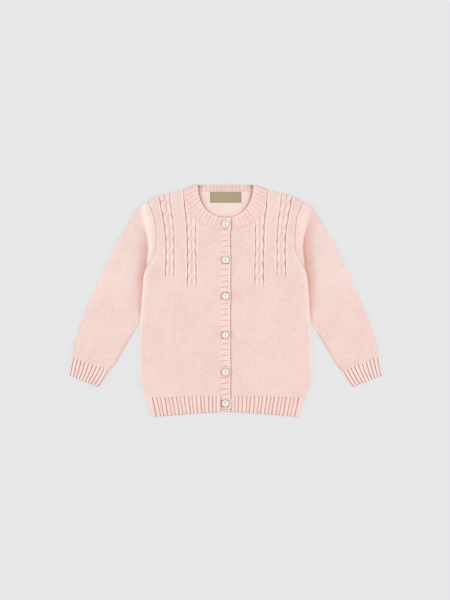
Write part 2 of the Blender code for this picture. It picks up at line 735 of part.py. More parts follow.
def neckband_sections():
    """Sections of the neckband from its top end, round the neck, to its under end.

    Each section has its free edge, its seam edge (both in the middle of the
    cloth), its outward direction, and how much its ribs show outside and inside.
    """
    fold_drop = (NECK_FOLD_RADIUS + BAND_WALL / 2)
    turn_x, turn_y = NECK_FOLD_TURN
    free_end_y = NECK_TOP - fold_drop * turn_y
    seam_end_y = 177.5 - fold_drop * turn_y
    front_steps = 13 * 3
    end_steps = 3
    back_steps = 15 * 3
    free = arc_points(lambda f: neck_curve(NECK_HALF, NECK_DEPTH, NECK_POWER, f, free_end_y),
                      front_steps + 1)
    seam = arc_points(lambda f: neck_curve(SEAM_HALF - 1.2, SEAM_DEPTH - GAP, SEAM_POWER, f,
                                           seam_end_y), front_steps + 1)

    def front(side):
        """From the end past the centre line up to the shoulder fold."""
        sections = []
        for k in range(end_steps):
            x = -BAND_EDGE_X * (1.0 - k / end_steps)
            shown = 1.0 if side == RIGHT_SIDE else 0.0
            level = BAND_TOP if side == RIGHT_SIDE else UNDER_TOP
            low, high = free[0][1], seam[0][1]
            middle = level - BAND_WALL / 2
            sections.append(((side * x, low, middle), (side * x, high, middle),
                             (0.0, 0.0, 1.0), shown, 0.0))
        for (free_x, free_y), (seam_x, seam_y) in zip(free, seam):
            level = front_height(side, seam_x, seam_y) - BAND_WALL / 2
            inner_level = level - 0.4 * ease((seam_x - 12.0) / 30.0)
            shown = 1.0 if side == RIGHT_SIDE else ease((free_x - BAND_EDGE_X) / 3.0)
            sections.append(((side * free_x, free_y, inner_level),
                             (side * seam_x, seam_y, level), (0.0, 0.0, 1.0), shown, 0.0))
        return sections

    def shoulder(side):
        """Over the shoulder fold, from front to back."""
        sections = []
        free_x, free_y = free[-1]
        seam_x, seam_y = seam[-1]
        top = front_height(side, seam_x, seam_y) - BAND_WALL / 2
        middle = (top + BAND_WALL / 2) / 2
        radius = middle - BAND_WALL / 2
        for degrees in (60.0, 25.0, -25.0, -60.0):
            out = math.cos(math.radians(degrees))
            up = math.sin(math.radians(degrees))
            shift_x, shift_y = NECK_FOLD_RADIUS * out * turn_x, NECK_FOLD_RADIUS * out * turn_y
            z = middle + radius * up
            facing = (side * turn_x * out, turn_y * out, up)
            sections.append(((side * (free_x + shift_x), free_y + shift_y, z),
                             (side * (seam_x + shift_x), seam_y + shift_y, z),
                             facing, 0.5 * (1.0 + up), 0.0))
        return sections

    def back():
        """Across the back of the neck, from the right shoulder to the left."""
        sections = []
        free_x, free_y = free[-1]
        seam_x, _ = seam[-1]
        for k in range(back_steps + 1):
            place = lerp(-1.0, 1.0, k / back_steps)
            lean = BACK_LEAN * (1.0 - place ** 2) ** 2
            y = free_y + (NECK_TOP - 0.7 - free_y) * (1.0 - place ** 4)
            width = NECK_TOP - BACK_NECK_Y
            tilt = math.atan2(lean, width)
            facing = (0.0, math.sin(tilt), -math.cos(tilt))
            sections.append(((place * free_x, y, BAND_WALL / 2 + lean),
                             (place * seam_x, BACK_NECK_Y + GAP + 0.2, BAND_WALL / 2),
                             facing, 0.0, ease((1.0 - abs(place)) / 0.1)))
        return sections

    right = front(RIGHT_SIDE) + shoulder(RIGHT_SIDE)
    left = front(LEFT_SIDE) + shoulder(LEFT_SIDE)
    return right + back() + list(reversed(left))


def make_neckband(name):
    """The ribbed neckband, one strip with its two ends on each other."""
    across = (0.0, 0.15, 0.85, 1.0)
    fade = (0.3, 1.0, 1.0, 0.3)
    points = []
    for index, (free, seam, facing, outside, inside) in enumerate(neckband_sections()):
        rib = rib_share(index)
        row = []
        for share, shown in zip(across, fade):
            centre = [lerp(a, b, share) for a, b in zip(free, seam)]
            out = BAND_WALL / 2 + RIB_RISE * rib * outside * shown
            back = BAND_WALL / 2 + 0.7 * RIB_RISE * rib * inside * shown
            outer = tuple(c + f * out for c, f in zip(centre, facing))
            inner = tuple(c - f * back for c, f in zip(centre, facing))
            row.append((outer, inner))
        points.append(row)
    rows = list(range(len(points)))
    return wall_mesh(name, points, rows, [0, 1, 2, 3])


# ------------------------------------------------------------ buttons and label

def make_button(name, y, collection, cutters, material):
    """A two-hole button with a raised rim, its holes in line with the wearer's height."""
    profile = ((0.0, 1.8), (3.4, 1.8), (4.1, 2.5), (4.9, 2.4),
               (BUTTON_RADIUS, 1.4), (4.9, 0.0), (0.0, 0.0))
    mesh = bpy.data.meshes.new(name)
    verts = [(r * MM, 0.0, z * MM) for r, z in profile]
    mesh.from_pydata(verts, [(k, k + 1) for k in range(len(verts) - 1)], [])
    button = new_object(name, mesh, collection, material)
    button.location = metres((0.0, y, BUTTON_Z))
    turn = button.modifiers.new("Turn", "SCREW")
    turn.steps = 22
    turn.render_steps = 22
    turn.use_merge_vertices = True
    turn.merge_threshold = 0.0001
    turn.use_smooth_shade = True
    for index, offset in enumerate((-BUTTON_HOLE_OFFSET, BUTTON_HOLE_OFFSET)):
        bpy.ops.mesh.primitive_cylinder_add(
            vertices=8, radius=BUTTON_HOLE_RADIUS * MM, depth=8 * MM,
            location=metres((0.0, y + offset, BUTTON_Z + 1.2)))
        cutter = bpy.context.object
        cutter.name = f"{name}_hole_{index + 1}"
        for owner in list(cutter.users_collection):
            owner.objects.unlink(cutter)
        cutters.objects.link(cutter)
        cutter.hide_render = True
        cutter.display_type = "WIRE"
        cut = button.modifiers.new(f"Hole {index + 1}", "BOOLEAN")
        cut.operation = "DIFFERENCE"
        cut.object = cutter
    return button


def make_label(name):
    """The bare woven label, inside the back of the neck."""
    x, y = LABEL_CENTRE
    half_x, half_y = LABEL_WIDTH / 2, LABEL_HEIGHT / 2
    outline = [(x - half_x, y - half_y), (x + half_x, y - half_y),
               (x + half_x, y + half_y), (x - half_x, y + half_y)]
    low = BACK_TOP + GAP
    return flat_mesh(name, outline, low, low + LABEL_THICKNESS)


# ------------------------------------------------------------------- the cardigan

def make_material(name, colour, roughness):
    material = bpy.data.materials.new(name)
    material.use_nodes = True
    shader = material.node_tree.nodes["Principled BSDF"]
    shader.inputs["Base Color"].default_value = (*colour, 1.0)
    shader.inputs["Roughness"].default_value = roughness
    shader.inputs["Metallic"].default_value = 0.0
    return material


def clear_scene():
    for thing in list(bpy.data.objects):
        bpy.data.objects.remove(thing, do_unlink=True)


def make_cardigan():
    clear_scene()
    parts = bpy.data.collections.new("cardigan")
    cutters = bpy.data.collections.new("cutters")
    bpy.context.scene.collection.children.link(parts)
    bpy.context.scene.collection.children.link(cutters)

    knit_pieces = {
        "back": make_back("back"),
        "front_right": make_front("front_right", RIGHT_SIDE),
        "front_left": make_front("front_left", LEFT_SIDE),
        "sleeve_right": make_sleeve("sleeve_right", RIGHT_SIDE),
        "sleeve_left": make_sleeve("sleeve_left", LEFT_SIDE),
    }
    rib_pieces = {
        "hem_back": make_back_hem("hem_back"),
        "hem_front_right": make_front_hem("hem_front_right", RIGHT_SIDE),
        "hem_front_left": make_front_hem("hem_front_left", LEFT_SIDE),
        "cuff_right": make_cuff("cuff_right", RIGHT_SIDE),
        "cuff_left": make_cuff("cuff_left", LEFT_SIDE),
        "neckband": make_neckband("neckband"),
        "band_buttonhole": make_top_band("band_buttonhole"),
        "band_button": make_under_band("band_button"),
    }
    for name, mesh in knit_pieces.items():
        new_object(name, mesh, parts, make_material(f"{name}_knit", KNIT_PINK, 0.9))
    for name, mesh in rib_pieces.items():
        new_object(name, mesh, parts, make_material(f"{name}_rib", RIB_PINK, 0.9))
    label_material = make_material("label_weave", LABEL_KHAKI, 0.8)
    new_object("label", make_label("label"), parts, label_material)
    for index, y in enumerate(BUTTON_YS):
        name = f"button_{index + 1}"
        material = make_material(f"{name}_shell", BUTTON_IVORY, 0.3)
        make_button(name, y, parts, cutters, material)


make_cardigan()
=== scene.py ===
"""The looks of a child's fine-knit cardigan with cables, laid flat on its back.

Every cloth piece is a thin shell, finer than the solid that it stands for:
ribs, cables, gutters, rolled edges and soft creases are shaped, and the
stitches are bump.  Shapes are worked out in millimetres and made in metres.
+Z is up from the floor, +Y runs from hem to neck, and the wearer's right front
is at -X.  A shade holds painted shade and painted highlights: 0 where the cloth
has its own colour, below 0 where it is painted darker as shade and above 0
where it is painted lighter as a highlight.
"""

import math
from collections import namedtuple

import bmesh
import bpy
import numpy as np
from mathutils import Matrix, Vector


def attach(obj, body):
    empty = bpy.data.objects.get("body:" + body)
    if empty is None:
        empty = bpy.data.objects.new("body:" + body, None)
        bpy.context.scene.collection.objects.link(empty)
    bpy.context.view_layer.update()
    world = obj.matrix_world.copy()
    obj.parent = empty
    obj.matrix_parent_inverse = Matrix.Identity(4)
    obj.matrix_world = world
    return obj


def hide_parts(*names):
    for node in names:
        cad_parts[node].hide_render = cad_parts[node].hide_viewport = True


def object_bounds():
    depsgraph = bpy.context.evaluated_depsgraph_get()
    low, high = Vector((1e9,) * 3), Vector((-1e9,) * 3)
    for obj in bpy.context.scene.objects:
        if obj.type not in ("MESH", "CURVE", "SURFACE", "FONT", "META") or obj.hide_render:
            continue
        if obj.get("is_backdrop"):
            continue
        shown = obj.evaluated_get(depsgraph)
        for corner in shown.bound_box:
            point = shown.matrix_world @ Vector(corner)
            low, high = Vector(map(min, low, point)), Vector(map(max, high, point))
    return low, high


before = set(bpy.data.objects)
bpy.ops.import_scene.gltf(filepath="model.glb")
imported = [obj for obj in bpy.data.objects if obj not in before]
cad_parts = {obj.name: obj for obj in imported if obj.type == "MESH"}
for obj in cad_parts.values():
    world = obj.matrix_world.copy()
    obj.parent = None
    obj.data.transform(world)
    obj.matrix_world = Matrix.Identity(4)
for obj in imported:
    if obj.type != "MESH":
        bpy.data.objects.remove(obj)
cad_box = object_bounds()

MM = 0.001
RIGHT_SIDE = -1
LEFT_SIDE = 1

# Cloth, as in the solids
WALL = 1.6
BAND_WALL = 2.0
GAP = 0.3
RIB_RISE = 0.7
HEM_GROOVE = 1.25
CABLE_RISE = 0.9
GROOVE_DEPTH = 1.1
GROOVE_HALF = 1.35

# Levels above the floor
BACK_TOP = WALL
SEAM_Z = BACK_TOP + GAP
UNDER_TOP = SEAM_Z + BAND_WALL
TOP_BAND_Z = UNDER_TOP + GAP
BAND_TOP = TOP_BAND_Z + BAND_WALL
FRONT_Z = 4.3
SHOULDER_LIFT = 1.1
SIDE_PUFF = 1.1
TUCK_PUFF = 2.6
TUCK_BOTTOM = -75.0
ARMHOLE_PUFF = 1.3
SLEEVE_Z = 4.7
SLEEVE_FLAT_Z = 3.7
SLEEVE_EDGE_Z = 2.2
CUFF_Z = 4.6
LEAST_WALL = 0.3
# Lifts of the sleeve at the armhole, the crest, the fold and the valley, then further down
SLEEVE_LIFTS = (ARMHOLE_PUFF, 2.7, 2.2, -1.0, -0.6, -0.4, -0.2)

# Body
HEM_TOP = -152.0
HEM_TOP_DROP = 2.6
HEM_TOP_HALF = 128.0
HEM_BOTTOM = -178.3
HEM_BOTTOM_DROP = 7.9
HEM_BOTTOM_HALF = 118.1
HEM_RIBS = 17
HEM_SIDE_RIDGE = 8.2
CUFF_RIBS = 10
FOLD_REACH = 3.4
UNDERARM_Y = 53.3
SHOULDER_POINT_Y = 158.5
SHOULDER_NECK_Y = 177.5
FAN_Y = 60.0

# The sleeve's fold beside the armhole, and where its inner edge comes out below it
SLEEVE_FOLD_FOOT_Y = 52.0
SLEEVE_FOLD_TOP_Y = 153.4
TUCK_END_Y = -44.0
TUCKED_RINGS = 11
TUCK_SHADE_REACH = 11.0

# Steps of the grids: round a fold, over and under a sleeve, and to a hem's or cuff's rib
FOLD_STEPS = 8
SLEEVE_TOP_STEPS = 84
UNDER_STEPS = 20
STEPS_PER_RIB = 14

# Neck
NECK_TOP = 186.1
NECK_HALF = 43.8
NECK_DEPTH = 53.6
NECK_POWER = 2.2
SEAM_HALF = 67.2
SEAM_DEPTH = 72.8
SEAM_POWER = 2.5
SEAM_TOP_X = 67.07
BACK_NECK_Y = 174.0
NECK_FOLD_RADIUS = 1.7
NECK_FOLD_TURN = (0.348, 0.938)
NECK_WIDTH = 20.0
BACK_LEAN = 4.5
SECTIONS_PER_RIB = 3
ROWS_PER_SECTION = 5
END_SECTIONS = 3
TOP_END_SECTIONS = 8
NECK_FRONT_RIBS = 13
NECK_BACK_RIBS = 15

# Bands and buttons
BAND_SEAM_X = 9.6
BAND_EDGE_X = 8.8
BAND_RIBS = 32
BAND_TOP_Y = NECK_TOP - SEAM_DEPTH - GAP
BUTTON_YS = (121.8, 64.5, 6.6, -55.2, -114.6, -164.5)
BUTTON_RADIUS = 5.7
BUTTON_HOLE_RADIUS = 0.8
BUTTON_HOLE_OFFSET = 1.5
BUTTON_Z = BAND_TOP + RIB_RISE + GAP
THREAD_RADIUS = 0.12
THREAD_SIDES = 8
THREAD_STEPS = 12

# Cables
CABLE_REPEAT = 19.7
CABLE_PINCH = 0.45
OUTER_CABLE_FOOT = 37.3
INNER_CABLE_FOOT = 21.3

# Label
LABEL_WIDTH = 49.6
LABEL_HEIGHT = 17.0
LABEL_CENTRE = (0.5, 164.6)
LABEL_CORNER = 1.4
LABEL_TURN = 5.0

# Width and height of a stitch, and the width of a rib
WALE = 2.4
COURSE = 1.6
RIB_WIDTH = 3 * WALE

Line = namedtuple("Line", "y x")
CableLines = namedtuple("CableLines", "y outer_far outer_near inner_far inner_near")
Ring = namedtuple("Ring", "outer_x outer_y inner_x inner_y")
Crease = namedtuple("Crease", "x y length angle width depth")
RingSteps = namedtuple("RingSteps", "face fold crossing")
NeckSection = namedtuple("NeckSection", "free seam facing outside inside shade")


def table(kind, *rows):
    return [kind(*row) for row in rows]


BODY_EDGE = table(
    Line,
    (-154.6, 127.6), (-147.0, 131.0), (-140.0, 133.9), (-127.0, 136.8),
    (-80.0, 136.8), (-35.0, 136.0), (15.0, 132.4), (34.0, 131.3), (47.0, 128.3),
    (UNDERARM_Y, 125.0), (60.0, 119.8), (72.5, 113.7), (96.5, 110.9),
    (126.9, 113.1), (141.3, 117.3), (SHOULDER_POINT_Y, 124.6))
SHOULDER_LINE = table(
    Line,
    (SHOULDER_NECK_Y, SEAM_TOP_X), (171.2, 92.0), (166.9, 108.8),
    (SHOULDER_POINT_Y, 124.6))
CABLE_LINES = table(
    CableLines,
    (-154.6, 95.0, 81.0, 60.0, 46.9),
    (20.0, 97.0, 82.7, 60.6, 46.9),
    (60.0, 95.3, 82.6, 60.3, 47.4),
    (90.0, 95.0, 82.6, 60.8, 48.2),
    (110.0, 96.2, 83.1, 61.2, 48.0),
    (130.0, 99.2, 84.8, 62.6, 47.5),
    (150.0, 103.2, 87.9, 65.2, 47.0),
    (178.0, 108.5, 90.0, 67.3, 46.0))
SLEEVE_FOLD = table(
    Line,
    (SLEEVE_FOLD_FOOT_Y, 126.6), (62.0, 125.3), (77.0, 123.5), (96.0, 124.0),
    (112.0, 127.6), (122.0, 130.4), (137.0, 133.0), (SLEEVE_FOLD_TOP_Y, 134.4))
SLEEVE_RINGS = table(
    Ring,
    (144.6, 141.3, 129.1, 45.6), (152.6, 128.5, 130.8, 39.0),
    (163.5, 109.3, 132.0, 31.0), (174.1, 90.1, 132.6, 21.0),
    (182.4, 74.1, 133.0, 9.0), (190.4, 58.1, 133.9, -3.0),
    (203.4, 29.3, 135.2, -20.0), (216.6, 0.5, 138.0, -37.0),
    (223.2, -15.5, 145.0, -49.0), (229.3, -31.5, 153.6, -63.0),
    (235.4, -47.5, 163.0, -79.0), (240.6, -63.5, 172.0, -95.0),
    (243.4, -75.0, 178.5, -104.5), (245.4, -90.0, 184.9, -112.2))
CUFF_RINGS = SLEEVE_RINGS[-1:] + table(
    Ring,
    (246.3, -96.5, 188.9, -119.6), (248.9, -112.0, 198.4, -133.9),
    (250.2, -119.5, 203.0, -138.7))

# Soft troughs (depth above 0) and ridges in the cloth, at +X as laid out; angle is
# the direction that each runs in, in degrees from +X, and all lengths are in mm.
FRONT_CREASES = table(
    Crease,
    (30.0, -140.0, 26.0, 82.0, 6.0, 0.35),
    (62.0, -128.0, 40.0, 96.0, 9.0, 0.30),
    (104.0, -120.0, 46.0, 78.0, 9.0, 0.40),
    (84.0, -40.0, 60.0, 94.0, 12.0, 0.25),
    (40.0, -60.0, 70.0, 88.0, 12.0, -0.20),
    (112.0, 30.0, 34.0, 62.0, 6.0, 0.30),
    (104.0, 52.0, 24.0, 48.0, 5.0, 0.25),
    (20.0, 60.0, 12.0, 30.0, 3.5, 0.30),
    (20.0, 2.0, 13.0, -28.0, 3.5, 0.30),
    (20.0, -60.0, 12.0, 32.0, 3.5, 0.30),
    (20.0, -118.0, 12.0, -30.0, 3.5, 0.25))
SLEEVE_CREASES = table(
    Crease,
    (150.0, 92.0, 44.0, 112.0, 8.0, 0.35),
    (166.0, 40.0, 60.0, 116.0, 10.0, 0.30),
    (186.0, -20.0, 50.0, 108.0, 9.0, 0.35),
    (152.0, -18.0, 30.0, 30.0, 7.0, 0.30),
    (206.0, -66.0, 34.0, 116.0, 7.0, -0.30),
    (224.0, -72.0, 26.0, 104.0, 5.0, 0.35),
    (196.0, -92.0, 22.0, 128.0, 5.0, 0.35),
    (200.0, 10.0, 36.0, 118.0, 8.0, -0.25))


# ---- arithmetic

def lerp(start, end, share):
    return start + (end - start) * share


def ease(share):
    """0 below 0, 1 above 1, with a soft start and end between."""
    share = np.clip(share, 0.0, 1.0)
    return share * share * (3.0 - 2.0 * share)


def bell(distance, width):
    """1 at no distance, fading smoothly over about a width."""
    return np.exp(-(distance / width) ** 2)


def quarter(share):
    """Sine and cosine of a quarter turn's share."""
    angle = 0.5 * math.pi * np.clip(share, 0.0, 1.0)
    return np.sin(angle), np.cos(angle)


def grid(*values):
    """Values for every point of a grid, joined along a last axis."""
    return np.stack(np.broadcast_arrays(*values), -1)


def some(count, step):
    """Every step-th place of count, with the last one."""
    return sorted(set(range(0, count, step)) | {count - 1})


def curve(keys, values, at):
    """A smooth curve through values, one for each rising key, read at each place in at."""
    keys = np.asarray(keys, float)
    values = np.asarray(values, float)
    at = np.clip(at, keys[0], keys[-1])
    low = np.maximum(np.arange(len(keys)) - 1, 0)
    high = np.minimum(np.arange(len(keys)) + 1, len(keys) - 1)
    rest = (1,) * (values.ndim - 1)
    slopes = (values[high] - values[low]) / (keys[high] - keys[low]).reshape(-1, *rest)
    span = np.clip(np.searchsorted(keys, at, side="right") - 1, 0, len(keys) - 2)
    width = (keys[span + 1] - keys[span]).reshape(np.shape(at) + rest)
    f = (at - keys[span]).reshape(np.shape(at) + rest) / width
    start = values[span] + (values[span + 1] - values[span]) * (3 * f ** 2 - 2 * f ** 3)
    in_start = (f ** 3 - 2 * f ** 2 + f) * width * slopes[span]
    in_end = (f ** 3 - f ** 2) * width * slopes[span + 1]
    return start + in_start + in_end


def read_line(rows, key, value, at):
    """A smooth curve through a table: column value where column key equals at."""
    rows = sorted(rows, key=lambda row: getattr(row, key))
    keys = [getattr(row, key) for row in rows]
    return curve(keys, [getattr(row, value) for row in rows], np.asarray(at, float))


def spread(*stretches):
    """Steps through (start, end, count) stretches, each start shared with the last end."""
    steps = [stretches[0][0]]
    for start, end, count in stretches:
        steps += [lerp(start, end, k / count) for k in range(1, count + 1)]
    return np.array(steps)


def along_path(points):
    """Distance along a path of points, from its first."""
    steps = np.linalg.norm(np.diff(points, axis=0), axis=-1)
    return np.concatenate([np.zeros((1,) + steps.shape[1:]), np.cumsum(steps, axis=0)])


def even_points(place, count):
    """Points at even distances along place(share), share from 0 to 1."""
    fine = place(np.linspace(0.0, 1.0, 801))
    length = along_path(fine)
    at = np.linspace(0.0, length[-1], count)
    return np.stack([np.interp(at, length, fine[:, axis]) for axis in range(fine.shape[1])], 1)


def edge_drop(distance, radius):
    """How far a rounded edge of cloth falls away, at a distance in from the edge."""
    inward = np.clip(radius - distance, 0.0, radius)
    return radius - np.sqrt(radius ** 2 - inward ** 2)


def rib(phase, groove=0.17):
    """A rib's height from 0 in the groove, at whole phases, to 1 on its two wales."""
    from_groove = 0.5 - np.abs(phase % 1.0 - 0.5)
    between_wales = bell(0.5 - from_groove, 0.07)
    return ease(from_groove / groove) * (1.0 - 0.14 * between_wales)


def creased(x, y, creases):
    """Height that the creases add to the cloth at a place."""
    height = np.zeros(np.broadcast(x, y).shape)
    for crease_and_painted_shade in creases:
        turn = math.radians(crease_and_painted_shade.angle)
        along = (x - crease_and_painted_shade.x) * math.cos(turn) + (y - crease_and_painted_shade.y) * math.sin(turn)
        across = (y - crease_and_painted_shade.y) * math.cos(turn) - (x - crease_and_painted_shade.x) * math.sin(turn)
        across = across + 0.06 * along * along / crease_and_painted_shade.length
        height -= crease_and_painted_shade.depth * bell(across, crease_and_painted_shade.width) * bell(along, crease_and_painted_shade.length / 2)
    return height


# ---- the cut's lines

def body_edge(y):
    return read_line(BODY_EDGE, "y", "x", y)


def hem_top(x):
    return HEM_TOP - HEM_TOP_DROP * (np.abs(x) / HEM_TOP_HALF) ** 2


def hem_bottom(x):
    return HEM_BOTTOM - HEM_BOTTOM_DROP * (np.abs(x) / HEM_BOTTOM_HALF) ** 1.3


def hem_half(share):
    """Half the width of the hem at a share of its height."""
    return lerp(HEM_BOTTOM_HALF, body_edge(HEM_TOP - HEM_TOP_DROP), share)


def neck_curve(half, depth, power, end_y):
    """The scooped neckline, as a function of a share of its turn up to end_y."""
    end = math.acos(((NECK_TOP - end_y) / depth) ** (power / 2))

    def place(share):
        angle = share * end
        return grid(half * np.sin(angle) ** (2 / power),
                    NECK_TOP - depth * np.cos(angle) ** (2 / power))

    return place


def from_scoop(x, y, half, depth, power):
    """Distance outwards from a scooped neckline."""
    across = np.abs(x) / half
    down = np.maximum(NECK_TOP - y, 0.0) / depth
    size = np.maximum((across ** power + down ** power) ** (1 / power), 1e-3)
    slope_x = (across / size) ** (power - 1) / half
    slope_y = (down / size) ** (power - 1) / depth
    return (size - 1.0) / np.hypot(slope_x, slope_y)


def front_top(x):
    """The upper edge of a front: the neck seam, then the shoulder fold."""
    inside = np.clip(x / SEAM_HALF, 0.0, 1.0) ** SEAM_POWER
    seam = NECK_TOP - SEAM_DEPTH * (1.0 - inside) ** (1 / SEAM_POWER)
    return np.where(x >= SEAM_TOP_X, read_line(SHOULDER_LINE, "x", "y", x), seam)


def highest(is_below, count):
    """For each of count lines, the height where it crosses the panel's upper edge."""
    low = np.full(count, FAN_Y)
    high = np.full(count, SHOULDER_NECK_Y + 1.0)
    for _ in range(40):
        middle = (low + high) / 2
        below = is_below(middle)
        low = np.where(below, middle, low)
        high = np.where(below, high, middle)
    return low


# ---- mesh making

def placed(name, data):
    """A new object for a mesh, a light or a camera, put in the scene."""
    thing = bpy.data.objects.new(name, data)
    bpy.context.scene.collection.objects.link(thing)
    return thing


def add_painted_shade(mesh, values):
    """Keeps the painted shade and highlights of each vertex for the materials."""
    store = mesh.attributes.new("crease_and_painted_shade", "FLOAT", "POINT")
    store.data.foreach_set("value", values)


def face_grid(rows, cols, ring):
    """Grid places of each quad's corners; a ring's last column joins its first."""
    i, j = np.meshgrid(np.arange(rows - 1), np.arange(cols if ring else cols - 1), indexing="ij")
    corners = [(i, j), (i, j + 1), (i + 1, j + 1), (i + 1, j)]
    return np.stack([grid(a, b) for a, b in corners], 2).reshape(-1, 4, 2)


def edge_places(axis, edge, steps):
    """Grid places along an edge row, for axis 0, or an edge column, for axis 1."""
    places = np.array([(edge, step) for step in steps])
    return places[:, ::-1] if axis else places


def shell_faces(counts, plain_rows, plain_cols, ring):
    """Faces of a thin shell, the grid place of each corner, and which faces are the lining.

    The fine outer face comes first, then the plain inner face, then the rims.  The
    knitting of a rim's inner corners is read one step off the grid.
    """
    rows, cols = counts
    plain_counts = (len(plain_rows), len(plain_cols))
    closing = np.append(plain_cols, cols) if ring else plain_cols

    def outer_index(place):
        return place[..., 0] * cols + place[..., 1] % cols

    def inner_index(place):
        return rows * cols + place[..., 0] * plain_counts[1] + place[..., 1] % plain_counts[1]

    quads = face_grid(rows, cols, ring)
    plain_quads = face_grid(*plain_counts, ring)[:, ::-1]
    faces = outer_index(quads).tolist() + inner_index(plain_quads).tolist()
    lining = slice(len(quads), len(faces))
    places = quads.tolist()
    places += grid(plain_rows[plain_quads[..., 0]], closing[plain_quads[..., 1]]).tolist()
    for axis, line in ((0, closing), (1, plain_rows))[:1 if ring else 2]:
        ends = ((0, 0, -1), (counts[axis] - 1, plain_counts[axis] - 1, 1))
        for fine_edge, plain_edge, past in ends:
            for k in range(len(line) - 1):
                fine = edge_places(axis, fine_edge, range(line[k], line[k + 1] + 1))
                plain = edge_places(axis, plain_edge, (k + 1, k))
                faces.append(outer_index(fine).tolist() + inner_index(plain).tolist())
                beyond = fine[[-1, 0]]
                beyond[:, axis] += past
                places.append(fine.tolist() + beyond.tolist())
    return faces, places, lining


def widened(knit):
    """Places in the knitting with a row and a column more at each edge, a wall away."""
    knit = np.pad(knit, ((1, 1), (1, 1), (0, 0)), mode="edge")
    for axis in (0, 1):
        lines = np.moveaxis(knit, axis, 0)
        for edge, inside, beyond in ((1, 2, 0), (-2, -3, -1)):
            step = np.mean(lines[edge] - lines[inside], axis=0)
            lines[beyond] = lines[edge] + step / np.linalg.norm(step) * WALL
    return knit


def cloth(name, outer, inner, knit, crease_and_painted_shade, materials, plain, ring=False, lined=False):
    """A thin closed shell: a fine outer face, a plainer inner face and rims between.

    outer, inner and the painted shade and highlights are grids of the same rows
    and columns, the points in mm.  plain says which step of rows and of columns the
    inner face keeps.  knit holds each point's place in the knitting, across and
    along, and in a ring has one column more.  A lined piece has the same painted
    shade on its inner face.
    """
    counts = outer.shape[:2]
    crease_and_painted_shade = np.broadcast_to(crease_and_painted_shade, counts)
    plain_rows = np.array(some(counts[0], plain[0]))
    plain_cols = np.array(range(0, counts[1], plain[1]) if ring else some(counts[1], plain[1]))
    kept = np.ix_(plain_rows, plain_cols)
    points = np.concatenate([outer.reshape(-1, 3), inner[kept].reshape(-1, 3)]) * MM
    faces, places, lining = shell_faces(counts, plain_rows, plain_cols, ring)

    mesh = bpy.data.meshes.new(name)
    mesh.from_pydata(points.tolist(), [], faces)
    corner = np.array([place for face in places for place in face]) + 1
    layer = mesh.uv_layers.new(name="knit")
    layer.uv.foreach_set("vector", (widened(knit)[corner[:, 0], corner[:, 1]] * MM).ravel())
    inner_painted_shade = crease_and_painted_shade[kept].ravel() * (1.0 if lined else 0.0)
    add_painted_shade(mesh, np.concatenate([crease_and_painted_shade.ravel(), inner_painted_shade]))
    slots = np.zeros(len(faces), np.int32)
    slots[lining] = len(materials) - 1
    for material in materials:
        mesh.materials.append(material)
    mesh.polygons.foreach_set("material_index", slots)

    bm = bmesh.new()
    bm.from_mesh(mesh)
    bmesh.ops.recalc_face_normals(bm, faces=bm.faces)
    bm.to_mesh(mesh)
    bm.free()
    mesh.shade_smooth()
    mesh.set_sharp_from_angle(angle=math.radians(62.0))
    piece = placed(name, mesh)
    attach(piece, "root")
    return piece


def plan_area(points):
    """Area in square metres that a grid of points covers, seen from above."""
    one = points[1:, 1:, :2] - points[:-1, :-1, :2]
    two = points[1:, :-1, :2] - points[:-1, 1:, :2]
    return float(np.abs(one[..., 0] * two[..., 1] - one[..., 1] * two[..., 0]).sum() / 2) * MM ** 2


# ---- the fronts

def cable_foot(line):
    return OUTER_CABLE_FOOT if line < 4 else INNER_CABLE_FOOT


def front_lines(y):
    """Where the side fold ends, the four gutters and the band seam lie at a height."""
    lines = [body_edge(y) - FOLD_REACH]
    bulge = np.abs(np.sin(math.pi * y / CABLE_REPEAT)) ** 0.8
    pinch = CABLE_PINCH * (1.0 - 2.0 * bulge)
    for line, column in enumerate(CableLines._fields[1:], 2):
        inward = -pinch if column.endswith("far") else pinch
        shown = ease((y - cable_foot(line)) / 8.0) * ease((170.0 - y) / 12.0)
        lines.append(read_line(CABLE_LINES, "y", column, y) + inward * shown)
    lines.append(np.full_like(y, BAND_SEAM_X))
    return np.stack(lines)


def front_x(u, y):
    """Across a front: u is 0 at the side, 1 past its fold, 2 to 5 on the gutters, 6 at the band."""
    u, y = np.broadcast_arrays(u, y)
    lines = front_lines(y)
    span = np.clip(u.astype(int) - 1, 0, 4)
    near = np.take_along_axis(lines, span[None], 0)[0]
    far = np.take_along_axis(lines, span[None] + 1, 0)[0]
    folded = body_edge(y) - FOLD_REACH * (1.0 - quarter(u)[1])
    return np.where(u <= 1.0, folded, lerp(near, far, u - 1.0 - span))


def shoulder_lift(y):
    return SHOULDER_LIFT * ease((y - 100.0) / 60.0)


def sewn(y):
    """How much the armhole seam shows at a height: little at the underarm."""
    return lerp(0.15, 1.0, ease((y - 66.0) / 12.0))


def front_height(side, x, y):
    """Level of a front's outer face, without folds and relief."""
    from_edge = body_edge(y) - np.abs(x)
    side_roll = lerp(SIDE_PUFF, TUCK_PUFF, ease((y - TUCK_BOTTOM) / 40.0))
    side_roll = side_roll * bell(from_edge - 4.0, 7.0)
    armhole_roll = ARMHOLE_PUFF * bell(from_edge, 11.0)
    puff = lerp(side_roll, armhole_roll, ease((y - UNDERARM_Y + 10.0) / 30.0))
    beside_band = ease(1.0 - (np.abs(x) - BAND_SEAM_X) / 24.0)
    band_level = BAND_TOP if side == RIGHT_SIDE else UNDER_TOP
    return lerp(FRONT_Z + shoulder_lift(y) + puff, band_level, beside_band)


